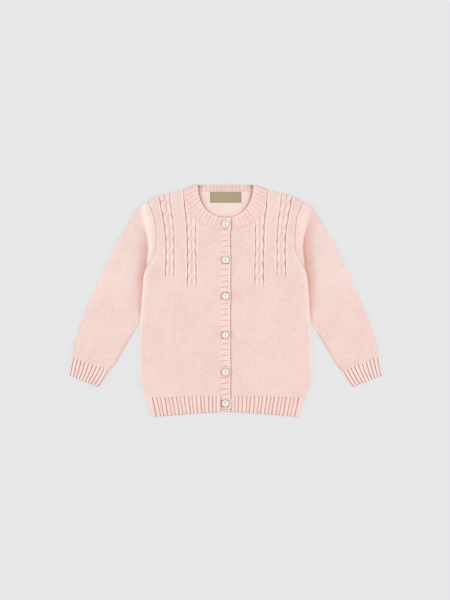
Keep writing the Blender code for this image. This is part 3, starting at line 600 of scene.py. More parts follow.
def cable_strands(across, y):
    """A two-strand rope cable: its height, its painted shade and highlight, and the centre of the
    strand on top.
    """
    turn = np.clip(((y / CABLE_REPEAT + 0.5) % 1.0 - 0.5) / 0.32, -1.0, 1.0)
    swing = np.sin(0.5 * math.pi * turn)
    over = 0.5 + 0.23 * swing
    under = 0.5 - 0.23 * swing

    def strand(centre):
        reach = np.minimum(np.abs(across - centre) / 0.3, 1.0)
        return np.cos(0.5 * math.pi * reach)

    on_top = strand(over)
    below = strand(under) * (1.0 - 0.7 * (1.0 - np.abs(swing)))
    height = np.maximum(on_top, below)
    between = bell(on_top - below, 0.2) * ease(height / 0.3)
    # Painted highlight on the strands' crests and painted shade where one strand meets the other.
    shade = 0.55 * ease((height - 0.7) / 0.3) - 0.75 * between
    return height, shade, lerp(over, under, ease(0.5 + (below - on_top) / 0.5))


def front_relief(side, u, x, y):
    """Cables and gutters on a front: their height, their painted shade and highlights, and how
    stitches shift.
    """
    lines = front_lines(y)
    gutter = np.zeros_like(y)
    shine = np.zeros_like(y)
    for line in (2, 3, 4, 5):
        shown = ease((y - cable_foot(line)) / 3.0)
        away = np.abs(x - lines[line - 1])
        # How dark the painted shade in each gutter is, along it and from gutter to gutter.
        uneven = 0.74 + 0.26 * np.cos(2 * math.pi * (y - 2.0) / CABLE_REPEAT + 0.4 * line)
        uneven = uneven * (1.2 if line in (2, 4) else 0.95)
        gutter = np.maximum(gutter, shown * uneven * (1.0 - ease(away / GROOVE_HALF)))
        shine = np.maximum(shine, shown * bell(away - 2.2, 0.9))
    rise = np.zeros_like(y)
    shift = np.zeros_like(y)
    for first in (2, 4):
        inside = (u > first) & (u < first + 1)
        across = u - first if side == RIGHT_SIDE else first + 1 - u
        height, rope_shade, centre = cable_strands(across, y)
        shown = np.where(inside, ease((y - cable_foot(first)) / 5.0), 0.0)
        rise += CABLE_RISE * height * shown
        shine += rope_shade * shown
        width = np.abs(lines[first] - lines[first - 1])
        shift -= side * (centre - 0.5) * width * shown
    # Painted shade in the gutters, with painted highlights beside them and on the cables' strands.
    return rise - GROOVE_DEPTH * gutter, 0.75 * shine - gutter, shift


def front_grid():
    """Across and up a front's grid, its upper edge and the share of the shoulder fold."""
    across = spread((0, 1, 10), (1, 1.94, 17), (1.94, 2, 6),
                    (2, 2.13, 6), (2.13, 2.87, 20), (2.87, 3, 6),
                    (3, 3.09, 6), (3.09, 3.91, 12), (3.91, 4, 6),
                    (4, 4.13, 6), (4.13, 4.87, 20), (4.87, 5, 6), (5, 5.05, 6), (5.05, 6, 24))
    top_y = highest(lambda y: y < front_top(front_x(across, y)), len(across))
    start_y = hem_top(front_x(across, np.full_like(across, HEM_TOP)))
    lower = spread((0.0, 0.04, 5), (0.04, 0.8, 48), (0.8, 1.0, 42))
    upper = spread((0.0, 1.0, 115))[1:]
    folds = np.linspace(0.0, 1.0, FOLD_STEPS + 1)[1:]
    ys = [lerp(start_y, FAN_Y, share) for share in lower]
    ys += [lerp(FAN_Y, top_y - FOLD_REACH, share) for share in upper]
    ys += [top_y - FOLD_REACH * (1.0 - quarter(1.0 - past)[1]) for past in folds]
    past_top = np.concatenate([np.zeros(len(ys) - len(folds)), folds])[:, None]
    y = np.array(ys)
    return np.broadcast_to(across, y.shape), y, top_y, past_top


def front_light(side, x, y, from_edge, side_fold):
    """Painted highlights on the marks above the underarm, on the side and, at the left, past the
    band.
    """
    marks = bell(y - 64.0, 7.0) * bell(from_edge - 2.4, 1.1)
    marks = marks * (0.55 + 0.45 * np.cos(math.pi * y / COURSE))
    beside_sleeve = ease((78.0 - y) / 20.0) * ease((y + 70.0) / 50.0)
    light_band = lerp(0.35, 0.6, side == RIGHT_SIDE) * np.clip(1.0 - from_edge / 12.0, 0.0, 1.0)
    past_band = np.maximum(x - BAND_SEAM_X - 0.2, 0.0)
    return (0.9 * marks + light_band * beside_sleeve
            + 0.9 * side_fold * (1.0 - ease(from_edge / 4.0))
            + 0.45 * (side == LEFT_SIDE) * bell(past_band - 0.6, 1.2))


def make_front(name, side, materials):
    """A front panel from the hem to the neck seam, the armhole and the shoulder fold."""
    u, y, top_y, past_top = front_grid()
    x = front_x(u, y)
    side_fold = ease((UNDERARM_Y + 2.0 - y) / 7.0)
    shoulder_fold = ease((front_x(u[0], top_y) - SEAM_TOP_X + 1.0) / 6.0)[None]
    side_sin, side_cos = quarter(u)
    top_sin, top_cos = quarter(1.0 - past_top)
    rise = (1.0 - side_fold * (1.0 - side_sin)) * (1.0 - shoulder_fold * (1.0 - top_sin))
    level = SEAM_Z + (front_height(side, x, y) - SEAM_Z) * rise
    relief, shade, shift = front_relief(side, u, x, y)
    from_neck = from_scoop(x, y, SEAM_HALF, SEAM_DEPTH, SEAM_POWER)
    clear = lerp(0.55, 1.0, ease(from_neck / 4.0))

    from_edge = body_edge(y) - x
    armhole = (1.0 - side_fold) * sewn(y)
    neck = ease((SEAM_TOP_X + 2.0 - x) / 2.0)
    seam_drop = armhole * edge_drop(from_edge, 0.9) + neck * 0.3 * edge_drop(from_neck, 0.8)
    blouse = 0.35 * bell(y - hem_top(x) - 6.0, 4.5)
    relief = relief * clear + blouse + creased(x, y, FRONT_CREASES)
    if side == RIGHT_SIDE:
        relief = relief + 0.55 * RIB_RISE * bell(x - BAND_SEAM_X, 4.0)
    overhang = lerp(0.1, 1.8, side == RIGHT_SIDE) * side_sin * side_cos
    overhang = overhang * ease((60.0 - y) / 10.0) * ease((y + 60.0) / 30.0)
    outer = grid(side * (x + overhang), y, level + relief * rise - seam_drop)
    inner = grid(side * (x - WALL * side_fold * side_cos),
                 y - WALL * shoulder_fold * top_cos, level - WALL * rise - 0.1)

    # Painted shade from the cables and gutters, less near the neck, painted shade at the neck seam
    # and in the armhole seam, and painted highlights beside the armhole seam, on the shoulder fold
    # and from front_light.
    shade = (shade * clear - 0.1 * neck * bell(from_neck, 0.9)
             + armhole * (0.25 * bell(from_edge - 2.2, 1.0) - 0.5 * bell(from_edge, 0.7))
             + 0.5 * shoulder_fold * (1.0 - top_sin)
             + front_light(side, x, y, from_edge, side_fold))
    knit = grid(side * (x - BAND_SEAM_X) - shift, y - HEM_TOP)
    piece = cloth(name, outer, inner, knit, shade, materials, (6, 5))
    plan_area(outer)
    return piece


def rib_relief(height, begun):
    """Height of the hem's and the cuffs' ribs, where they have begun."""
    return (0.45 * RIB_RISE * height - HEM_GROOVE * (1.0 - height)) * begun


def make_front_hem(name, side, materials):
    """The ribbed hem of a front, knitted on to it without a break."""
    ribs = np.linspace(0.0, 1.0, HEM_RIBS * STEPS_PER_RIB + 1)[1:]
    fold = np.concatenate([np.linspace(0.0, 1.0, FOLD_STEPS + 1), np.ones(len(ribs))])
    along = np.concatenate([np.zeros(FOLD_STEPS + 1), ribs])
    share = spread((0.0, 0.04, 4), (0.04, 0.12, 2), (0.12, 0.88, 14), (0.88, 1.0, 8))[:, None]
    fold_sin, fold_cos = quarter(fold)
    half = hem_half(share)
    x = lerp(half - FOLD_REACH * (1.0 - fold_cos), BAND_SEAM_X, along)
    waver = np.sin(9.0 * along + 4.0 * share) * np.sin(math.pi * share) * np.sin(math.pi * along)
    side_ridge = HEM_SIDE_RIDGE + 2.2 * share
    pitch = (half - BAND_SEAM_X - side_ridge) / (HEM_RIBS - 0.2)
    ribs_in = 1.0 + (half - x - side_ridge) / pitch
    phase = np.maximum(ribs_in, 0.5) + 0.07 * waver
    phase = phase + 0.07 * np.sin(2.3 * phase + 1.2 * share) * (phase > 0.6)
    height = rib(phase, 0.27)
    scallop = 0.5 * height * (1.0 - ease(share / 0.06)) * fold_sin
    y = lerp(hem_bottom(x), hem_top(x), share) - scallop
    level = front_height(side, x, np.full_like(x, HEM_TOP)) - 0.5 * (1.0 - ease(share / 0.3))
    level = SEAM_Z + (np.maximum(level, UNDER_TOP) - SEAM_Z) * fold_sin
    begun = ease((1.0 - share) / 0.07)
    from_bottom = share * (hem_top(x) - hem_bottom(x))
    shown = np.minimum(fold_sin, 0.6 + ease(along * HEM_RIBS))
    inner_z = level - WALL * fold_sin - 0.1
    outer_z = level + (rib_relief(height, begun) + 0.25) * shown - edge_drop(from_bottom, 1.0)
    outer = grid(side * x, y, np.maximum(outer_z, inner_z + LEAST_WALL))
    inner = grid(side * (x - WALL * fold_cos), y, inner_z)

    # Painted highlights on the ridges and unevenly dark painted shade in the grooves, a dark painted
    # dot where each groove starts and a painted shadow along the bottom edge.
    uneven = 0.85 + 0.15 * np.sin(2.1 * np.floor(phase + 0.5))
    start_dot = bell(share - 0.93, 0.035) * (1.0 - height)
    shade = (begun * (0.45 * height - 0.9 * uneven * (1.0 - height)) - 0.5 * start_dot
             - 0.5 * bell(from_bottom, 1.0))
    knitted = phase + np.minimum(ribs_in - 0.5, 0.0)
    knit = grid(side * (knitted + 0.5 / 3) * RIB_WIDTH, y - HEM_TOP)
    piece = cloth(name, outer, inner, knit, shade, materials, (6, STEPS_PER_RIB))
    plan_area(outer)
    return piece


# ---- the back

def make_back(name, materials):
    """The back panel, flat on the floor, with its wrong side up in the neck."""
    half = spread((0.0, 0.44, 52), (0.44, 1.0, 12))
    across = np.concatenate([-half[:0:-1], half])

    def top_of(x):
        return np.where(np.abs(x) < SEAM_TOP_X, BACK_NECK_Y, front_top(np.abs(x)))

    top_y = highest(lambda y: y < top_of(across * body_edge(y)), len(across))
    share = spread((0.0, 0.84, 28), (0.84, 1.0, 56))[:, None]
    y = lerp(hem_top(across * body_edge(HEM_TOP)), top_y, share)
    x = across * body_edge(y)
    seen = ease((SEAM_HALF - np.abs(x)) / 8.0) * ease((y - 108.0) / 8.0)
    wave = 0.12 * np.sin(x / 9.0 + 0.6 * np.sin(y / 11.0)) * seen
    outer = grid(x, y, BACK_TOP + wave)
    inside = np.maximum(-from_scoop(x, y, NECK_HALF, NECK_DEPTH, NECK_POWER) - 0.2, 0.0)
    upwards = ease((y - 136.0) / 36.0)
    # Painted shadow of the neckband's free edge: a dark line under the edge, darker and wider
    # towards the top, slightly darker nearby and lighter further inside the neck.
    shade = (0.15 * ease((inside - 6.0) / 8.0) - 0.1 * bell(inside, 6.0)
             - lerp(0.45, 0.85, upwards) * bell(inside, lerp(0.8, 1.5, upwards)))
    piece = cloth(name, outer, grid(x, y, 0.0), grid(x, y - HEM_TOP), shade, materials, (8, 6))
    plan_area(outer)
    return piece


def make_back_hem(name, materials):
    """The back's ribbed hem under the fronts' hems."""
    along = np.linspace(-1.0, 1.0, HEM_RIBS * 2 * 6 + 1)
    share = spread((0.0, 0.06, 3), (0.06, 1.0, 8))[:, None]
    x = along * hem_half(share)
    ribs_in = (along + 1.0) * HEM_RIBS
    height = rib(ribs_in)
    y = lerp(hem_bottom(x), hem_top(x), share) - 0.4 * height * (1.0 - ease(share / 0.1))
    from_bottom = share * (hem_top(x) - hem_bottom(x))
    level = BACK_TOP - 0.4 * (1.0 - height) - edge_drop(from_bottom, 0.7)
    outer = grid(x, y, level)
    knit = grid(ribs_in * RIB_WIDTH, y - HEM_TOP)
    # Painted shade in the rib grooves, on the underside as well.
    piece = cloth(name, outer, grid(x, y, 0.0), knit, 0.5 * (height - 1.0), materials, (5, 1),
                  lined=True)
    plan_area(outer)
    return piece


# ---- the sleeves

def ring_edges(rings):
    """Outer and inner edge points of each ring, as arrays."""
    points = np.array(rings)
    return points[:, :2], points[:, 2:]


def sleeve_places(share):
    """Plan positions of every ring of the sleeve at each share from outer to inner edge."""
    y = lerp(SHOULDER_POINT_Y, UNDERARM_Y, share)
    armhole = grid(body_edge(y) + 0.03, y)
    y = lerp(SLEEVE_FOLD_TOP_Y, SLEEVE_FOLD_FOOT_Y, share)
    fold = grid(read_line(SLEEVE_FOLD, "y", "x", y), y)
    crest = lerp(armhole, fold, 0.55)
    valley = fold + grid(2.6 - 2.0 * ease((share - 0.9) / 0.1), -1.6)
    rings = [armhole, crest, fold, valley]
    outer, inner = ring_edges(SLEEVE_RINGS)
    inner = inner - grid(0.45 * ease((inner[:, 1] + 40.0) / 20.0), 0.0)
    for one, two in zip(outer, inner):
        rings.append(lerp(one, two, share[..., None]))
    return np.stack(rings)


def sleeve_height(y, share, lift, tucked):
    """Level of the sleeve's upper face, with the fold beside the armhole."""
    level = (SLEEVE_Z + 0.9 * shoulder_lift(y) + 0.6 * bell(share - 0.12, 0.1)
             + lift * ease((share - 0.12) / 0.4) * ease((1.0 - share) / 0.1)
             - tucked * ease((share - 0.7) / 0.3))
    return np.maximum(level, SLEEVE_FLAT_Z)


def ring_steps(top_count, under_count):
    """Steps round a ring, over the top and back underneath: face, fold and crossing."""
    fold = np.linspace(0.0, 1.0, FOLD_STEPS + 1)
    over = np.linspace(0.0, 1.0, top_count + 1)
    under = np.linspace(1.0, 0.0, under_count + 1)
    halves = []
    for face, ramp, path in ((1.0, fold[:-1], over), (-1.0, fold[1:-1], under)):
        halves.append((np.full(len(path) + 2 * len(ramp), face),
                       np.concatenate([ramp, np.ones(len(path)), ramp[::-1]]),
                       np.pad(path, len(ramp), mode="edge")))
    return RingSteps(*(np.concatenate(parts) for parts in zip(*halves)))


def ring_grid(places, steps):
    """Points round each ring in plan, its wall's inner points, the share and the length.

    places maps a share grid to positions, one row of the grid for each ring.
    """
    fold_cos = quarter(steps.fold)[1]
    ends = places(np.array([[0.0, 1.0]]))
    length = np.linalg.norm(ends[:, 1] - ends[:, 0], axis=-1)[:, None]
    reach = FOLD_REACH * (1.0 - fold_cos) / length
    share = lerp(reach, 1.0 - reach, steps.crossing)
    inward = WALL * fold_cos / length
    inner_share = np.where(steps.crossing < 0.5, share + inward, share - inward)
    return places(share), places(inner_share), share, length


def read_rings(keys, values_of, at):
    """A function that reads places between rings, row k of a share grid at at[k]."""

    def places(share):
        share = np.broadcast_to(share, (len(at), share.shape[-1]))
        rings = values_of(share)
        return np.stack([curve(keys, rings[:, k], at[k]) for k in range(len(at))])

    return places


def tube_walls(plan, inner_plan, steps, top, relief, tucked=0.0):
    """Outer and inner points round flattened rings, flat underneath.

    Where a ring is tucked, 0 to 1, its inner edge stands up instead of folding.
    """
    upper = steps.face > 0
    fold_sin = quarter(steps.fold)[0]
    fold_sin = lerp(fold_sin, 1.0, tucked * (upper & (steps.crossing > 0.5)))
    edge = SLEEVE_EDGE_Z
    over = edge + (top - edge + relief) * fold_sin
    inner_over = edge + (top - WALL - edge) * fold_sin
    outer_z = np.where(upper, over, edge * (1.0 - fold_sin))
    inner_z = np.where(upper, inner_over, edge - (edge - WALL) * fold_sin)
    return (grid(plan[..., 0], plan[..., 1], outer_z),
            grid(inner_plan[..., 0], inner_plan[..., 1], inner_z))


def mirrored(points, side):
    return points * np.array([side, 1.0, 1.0])


def upper_area(outer, top_count):
    """Area of a ring grid's upper face with its folds, seen from above."""
    return plan_area(outer[:, :top_count + 2 * FOLD_STEPS + 2])


def sleeve_shade(side, x, y, share, length, steps, keys, from_seam):
    """Painted shade and highlights on the sleeve: the shadow under the tuck beside the body, a
    highlight on the crest before it and on its folds, shade along its free inner edge and in the
    armhole seam, and light on its upper part.
    """
    right = side == RIGHT_SIDE
    edge_x = np.where(y > SLEEVE_FOLD_FOOT_Y, read_line(SLEEVE_FOLD, "y", "x", y), body_edge(y))
    past_edge = np.maximum(x - edge_x, 0.0)
    begun = ease((130.0 - y) / 45.0) if right else (158.0 - y) / 58.0
    shown = np.clip(begun, 0.0, 1.0) * ease((y + 48.0) / 16.0)
    beyond = ease((from_seam - keys[2]) / 0.8)
    reach = lerp(4.0, TUCK_SHADE_REACH, ease((y + 27.0) / 25.0)) + 5.0 * ease(y / 60.0)
    reach = reach + (0.0 if right else 2.0)
    # Painted shadow of the body's fold on the sleeve beside it, fading out over the reach.
    under_tuck = shown * np.clip(1.0 - past_edge / reach, 0.0, 1.0) ** 0.9 * beyond
    crest = (0.8 if right else 0.15) * bell(from_seam - keys[1] - 2.0, 4.5)
    crest = crest * lerp(0.5, 1.0, ease((y - 56.0) / 24.0))
    crest = crest + 0.25 * sewn(y) * bell(from_seam - 2.0, 0.8)
    edges = 0.8 * (1.0 - ease(steps.fold / 0.8)) * (y < UNDERARM_Y + 70.0)
    from_inner = (1.0 - share) * length
    free = ease((TUCK_END_Y - y) / 8.0) * (steps.crossing > 0.5)
    edges = edges - free * (0.18 * bell(from_inner - 2.0, 3.0) + 0.75 * bell(from_inner, 1.0))
    near_fold = shown * (1.0 - ease((past_edge - 12.0) / 10.0)) * beyond
    # Painted light on the upper sleeve, away from the fold's painted shadow.
    lit = 0.3 * ease((y + 20.0) / 60.0) * (1.0 - near_fold)
    seam = 0.5 * sewn(y) * bell(from_seam, 0.7)
    shade = lit + crest + edges - seam - (0.5 if right else 0.56) * under_tuck
    return np.where(steps.face > 0, shade, 0.0)


def make_sleeve(name, side, materials):
    """A sleeve from the armhole seam to the cuff, with the soft fold beside the armhole."""
    keys = along_path(sleeve_places(np.array([0.55]))[:, 0])
    lifts = np.pad(SLEEVE_LIFTS, (0, len(keys) - len(SLEEVE_LIFTS)))
    tucks = np.where(np.arange(len(keys)) < TUCKED_RINGS, 1.0, 0.0)
    at = spread((0.0, keys[4], 34), (keys[4], keys[-1], 112))
    steps = ring_steps(SLEEVE_TOP_STEPS, UNDER_STEPS)
    plan, inner_plan, share, length = ring_grid(read_rings(keys, sleeve_places, at), steps)
    from_seam = at[:, None]
    x, y = plan[..., 0], plan[..., 1]
    top = sleeve_height(y, share, curve(keys, lifts, at)[:, None], curve(keys, tucks, at)[:, None])
    beside = front_height(side, x - from_seam, np.maximum(y, UNDERARM_Y))
    top = lerp(beside, top, ease(from_seam / 9.0))
    blouse = 0.35 * bell(keys[-1] - from_seam - 6.0, 4.5)
    relief = creased(x, y, SLEEVE_CREASES) + blouse - sewn(y) * edge_drop(from_seam, 0.9)
    inner_edge_y = curve(keys, sleeve_places(np.array([1.0]))[:, 0, 1], at)
    hidden = ease((inner_edge_y - TUCK_END_Y) / 12.0)[:, None]
    outer, inner = tube_walls(plan, inner_plan, steps, top, relief, hidden)
    shade = sleeve_shade(side, x, y, share, length, steps, keys, from_seam)
    turned = np.concatenate([outer, outer[:, :1]], 1)
    knit = grid(along_path(np.moveaxis(turned, 1, 0)).T, from_seam)
    piece = cloth(name, mirrored(outer, side), mirrored(inner, side), knit, shade, materials,
                  (6, 5), ring=True)
    2 * upper_area(outer, SLEEVE_TOP_STEPS)
    return piece


def make_cuff(name, side, materials):
    """A ribbed cuff, knitted on to the sleeve without a break."""
    outer_edge, inner_edge = ring_edges(CUFF_RINGS)
    middle = (outer_edge + inner_edge) / 2
    keys = along_path(middle)
    at = spread((0.0, 3.0, 7), (3.0, keys[-1] - 1.4, 16), (keys[-1] - 1.4, keys[-1], 5))

    def places_of(share):
        return lerp(outer_edge[:, None, None], inner_edge[:, None, None], share[..., None])

    steps = ring_steps(CUFF_RIBS * STEPS_PER_RIB, UNDER_STEPS)
    plan, inner_plan, share, _ = ring_grid(read_rings(keys, places_of, at), steps)
    upper = steps.face > 0
    down = at[:, None]
    waver = 0.06 * np.sin(6.0 * share + down / 7.0) * np.sin(math.pi * share)
    phase = 0.5 + share * CUFF_RIBS + waver
    height = rib(phase, 0.27)
    begun = ease(down / 2.2)
    from_end = keys[-1] - down
    relief = rib_relief(height, begun) + 0.25 - edge_drop(from_end, 1.0)
    outer, inner = tube_walls(plan, inner_plan, steps, CUFF_Z, relief)
    thick = np.maximum(outer[..., 2], inner[..., 2] + LEAST_WALL)
    outer[..., 2] = np.where(upper, thick, outer[..., 2])
    scallop = 0.5 * height * (1.0 - ease(from_end / 1.6)) * upper * quarter(steps.fold)[0]
    heading = (middle[-1] - middle[-2]) / np.linalg.norm(middle[-1] - middle[-2])
    outer[..., :2] += heading * scallop[..., None]
    # Painted highlights on the ridges, painted shade in the grooves, a dark painted dot where each
    # groove starts and a painted shadow along the cuff's end.
    start_dot = bell(down - 1.6, 0.9) * (1.0 - height)
    shade = begun * (1.7 * height - 1.0) - 0.5 * start_dot - 0.55 * bell(from_end, 1.0)
    under_phase = 2 * CUFF_RIBS + 1 - phase
    turned = np.concatenate([np.where(upper, phase, under_phase), under_phase[:, :1]], 1)
    knit = grid((turned + 0.5 / 3) * RIB_WIDTH, down)
    piece = cloth(name, mirrored(outer, side), mirrored(inner, side), knit, shade, materials,
                  (6, 7), ring=True)
    2 * upper_area(outer, CUFF_RIBS * STEPS_PER_RIB)
    return piece


# ---- bands and neckband

def band_ribs(y):
    """Ribs of the bands from their bottom up to a height."""
    return (y - HEM_BOTTOM) / (BAND_TOP_Y - HEM_BOTTOM) * BAND_RIBS


def band_rows(steps_per_rib):
    """Heights of a band's rows, as a column."""
    return np.linspace(HEM_BOTTOM, BAND_TOP_Y + GAP, BAND_RIBS * steps_per_rib + 1)[:, None]


def band_edge(y):
    """Where the buttonhole band's wavy free edge lies, pushed out beside each button."""
    phase = band_ribs(y)
    scallop = 0.75 * np.cos(2 * math.pi * phase) + 0.15 * np.cos(math.pi * phase * 3.1)
    edge = BAND_EDGE_X - 1.1 + 0.7 * scallop + 0.25 * np.sin(y / 23.0)
    for button_y in BUTTON_YS:
        push = 2.3 if button_y == BUTTON_YS[-1] else 0.8
        edge = edge + push * bell(y - button_y, 9.0)
    return edge


def make_top_band(name, materials):
    """The buttonhole band: ribbed across, with a rolled and slightly scalloped edge."""
    x = spread((-BAND_SEAM_X - 0.12, -8.4, 4), (-8.4, 6.0, 16), (6.0, 7.8, 4), (7.8, BAND_EDGE_X, 6))
    y = band_rows(13)
    phase = band_ribs(y - 0.09 * x)
    height = rib(phase + 0.07 * np.sin(y / 17.0) + 0.03 * np.sin(x + y / 5.0), 0.15)
    middle = ease((x + 8.4) / (3.2 + 1.4 * np.sin(y * 1.7))) * ease((6.0 - x) / 1.6)
    roll = bell(x - 7.4, 1.1)
    relief = 0.75 * RIB_RISE * lerp(0.8, height, middle) + 0.25 * roll
    from_edge = BAND_EDGE_X - x
    from_bottom = y - HEM_BOTTOM
    drop = edge_drop(from_edge, 1.0) + edge_drop(from_bottom, 1.0)
    rounds = [np.hypot(x, y - button_y) for button_y in BUTTON_YS[1:]]
    dent = 0.55 * sum(bell(away, 5.5) for away in rounds)
    # Painted shadow round the buttons below the top one.
    around = sum(bell(away - 6.6, 1.2) for away in rounds)
    end_line = bell(from_bottom - 3.6, 0.7) * middle
    side_line = bell(x + 7.0, 0.7) * ease((27.0 - from_bottom) / 3.0) * ease(from_bottom / 4.0)
    shifted = x + ease((x - 5.0) / 3.0) * (band_edge(y) - BAND_EDGE_X)
    outer = grid(shifted, y, BAND_TOP + relief - drop - dent - 0.35 * end_line - 0.3 * side_line)
    # Painted highlights on the ribs and the rolled edge, painted shade in the rib grooves, a painted
    # shadow round the buttons, painted shade in the dented lines round the band's end and along its
    # free and bottom edges, and the whole band a little darker, more towards the bottom.
    shade = (0.9 * height - 0.7) * middle + 1.1 * roll - 0.4 * around - 0.9 * (end_line + side_line)
    shade = (shade - bell(from_edge, 0.6) - 0.3 * bell(from_bottom, 0.8)
             - 0.08 - 0.12 * ease((-70.0 - y) / 60.0))
    piece = cloth(name, outer, grid(shifted, y, TOP_BAND_Z), grid(phase * RIB_WIDTH, x), shade,
                  materials, (13, 6))
    plan_area(outer)
    return piece


def make_under_band(name, materials):
    """The button band, under the buttonhole band."""
    x = spread((-BAND_EDGE_X, -7.8, 3), (-7.8, 6.2, 7), (6.2, BAND_SEAM_X, 17))
    y = band_rows(6)
    phase = band_ribs(y)
    height = rib(phase, 0.17)
    outer = grid(x, y, UNDER_TOP - 0.4 * (1.0 - height) - edge_drop(y - HEM_BOTTOM, 0.8))
    # Painted shadow of the buttonhole band's edge on this band, a thin dark line less dark near the
    # buttons, with a painted highlight past it.
    past_edge = x - band_edge(y)
    near_button = sum(bell(y - button_y, 12.0) for button_y in BUTTON_YS)
    depth = 1.7 - 0.6 * near_button + 0.3 * np.sin(y / 9.0) * np.sin(y / 31.0 + 1.0)
    shade = 0.6 * ease((past_edge - 0.7) / 0.4) - depth * bell(past_edge - 0.2, 0.7)
    piece = cloth(name, outer, grid(x, y, SEAM_Z), grid(phase * RIB_WIDTH, x), shade,
                  materials, (12, 5))
    plan_area(outer)
    return piece


def neck_edge(half, depth, power, top_y):
    """Points of an edge from its end past the centre line up to the shoulder fold."""
    end_y = top_y - (NECK_FOLD_RADIUS + BAND_WALL / 2) * NECK_FOLD_TURN[1]
    place = neck_curve(half, depth, power, end_y)
    line = even_points(place, NECK_FRONT_RIBS * SECTIONS_PER_RIB + 1).tolist()
    ends = [-BAND_EDGE_X * (1.0 - k / END_SECTIONS) for k in range(END_SECTIONS)]
    return [(x, line[0][1]) for x in ends] + line


def neck_front(side, free, seam):
    """Sections from an end of the neckband up to the shoulder fold."""
    for (free_x, free_y), (seam_x, seam_y) in zip(free, seam):
        level = front_height(side, seam_x, seam_y) - BAND_WALL / 2
        free_level = level - 0.4 * ease((seam_x - 12.0) / 30.0)
        shown = 1.0 if side == RIGHT_SIDE else ease((free_x - BAND_EDGE_X) / 3.0)
        yield NeckSection((side * free_x, free_y, free_level), (side * seam_x, seam_y, level),
                          (0.0, 0.0, 1.0), shown, 0.0, 0.0)


def neck_shoulder(side, free, seam):
    """Sections over the shoulder fold, from front to back."""
    (free_x, free_y), (seam_x, seam_y) = free[-1], seam[-1]
    turn_x, turn_y = NECK_FOLD_TURN
    middle = front_height(side, seam_x, seam_y) / 2
    for degrees in (60.0, 25.0, -25.0, -60.0):
        out = math.cos(math.radians(degrees))
        up = math.sin(math.radians(degrees))
        shift_x = NECK_FOLD_RADIUS * out * turn_x
        shift_y = NECK_FOLD_RADIUS * out * turn_y
        z = middle + (middle - BAND_WALL / 2) * up
        # The shoulder sections take a little painted shade.
        yield NeckSection((side * (free_x + shift_x), free_y + shift_y, z),
                          (side * (seam_x + shift_x), seam_y + shift_y, z),
                          (side * turn_x * out, turn_y * out, up), 0.5 * (1.0 + up), 0.0, -0.2)


def neck_back(free, seam):
    """Sections across the back of the neck, from the right shoulder to the left."""
    (free_x, free_y), (seam_x, _) = free[-1], seam[-1]
    for place in np.linspace(-1.0, 1.0, NECK_BACK_RIBS * SECTIONS_PER_RIB + 1):
        lean = BACK_LEAN * (1.0 - place ** 2) ** 2
        y = free_y + (NECK_TOP - 0.7 - free_y) * (1.0 - place ** 14)
        tilt = math.atan2(lean, NECK_TOP - BACK_NECK_Y)
        # Painted shade in the folds at the back part's two ends.
        in_fold = bell((1.0 - abs(place)) * free_x, 6.0)
        spread_x = lerp(1.04 * free_x, seam_x, place ** 12)
        yield NeckSection((place * free_x, y, BAND_WALL / 2 + lean),
                          (place * spread_x, BACK_NECK_Y + 0.03, BAND_WALL / 2),
                          (0.0, math.sin(tilt), -math.cos(tilt)), 0.0,
                          ease((1.0 - abs(place)) / 0.1), -1.3 * in_fold)


def neckband_sections():
    """Sections of the neckband from its top end, round the neck, to its under end."""
    free = neck_edge(NECK_HALF, NECK_DEPTH, NECK_POWER, NECK_TOP)
    seam = neck_edge(SEAM_HALF + 0.1, SEAM_DEPTH + 0.1, SEAM_POWER, SHOULDER_NECK_Y)
    right, left = ([*neck_front(side, free, seam), *neck_shoulder(side, free, seam)]
                   for side in (RIGHT_SIDE, LEFT_SIDE))
    return right + [*neck_back(free, seam)] + left[::-1]


def neckband_rows():
    """Where each fine row lies among the sections, and all the rows' values as one section."""
    flat = np.array([(*s.free, *s.seam, *s.facing, s.outside, s.inside, s.shade)
                     for s in neckband_sections()])
    whole = np.arange(len(flat))
    at = np.arange((len(flat) - 1) * ROWS_PER_SECTION + 1) / ROWS_PER_SECTION
    place = curve(whole, flat[:, :9], at)[:, None]
    facing = place[..., 6:] / np.linalg.norm(place[..., 6:], axis=-1, keepdims=True)
    shares = [np.interp(at, whole, flat[:, k])[:, None] for k in (9, 10, 11)]
    return at, NeckSection(place[..., :3], place[..., 3:6], facing, *shares)


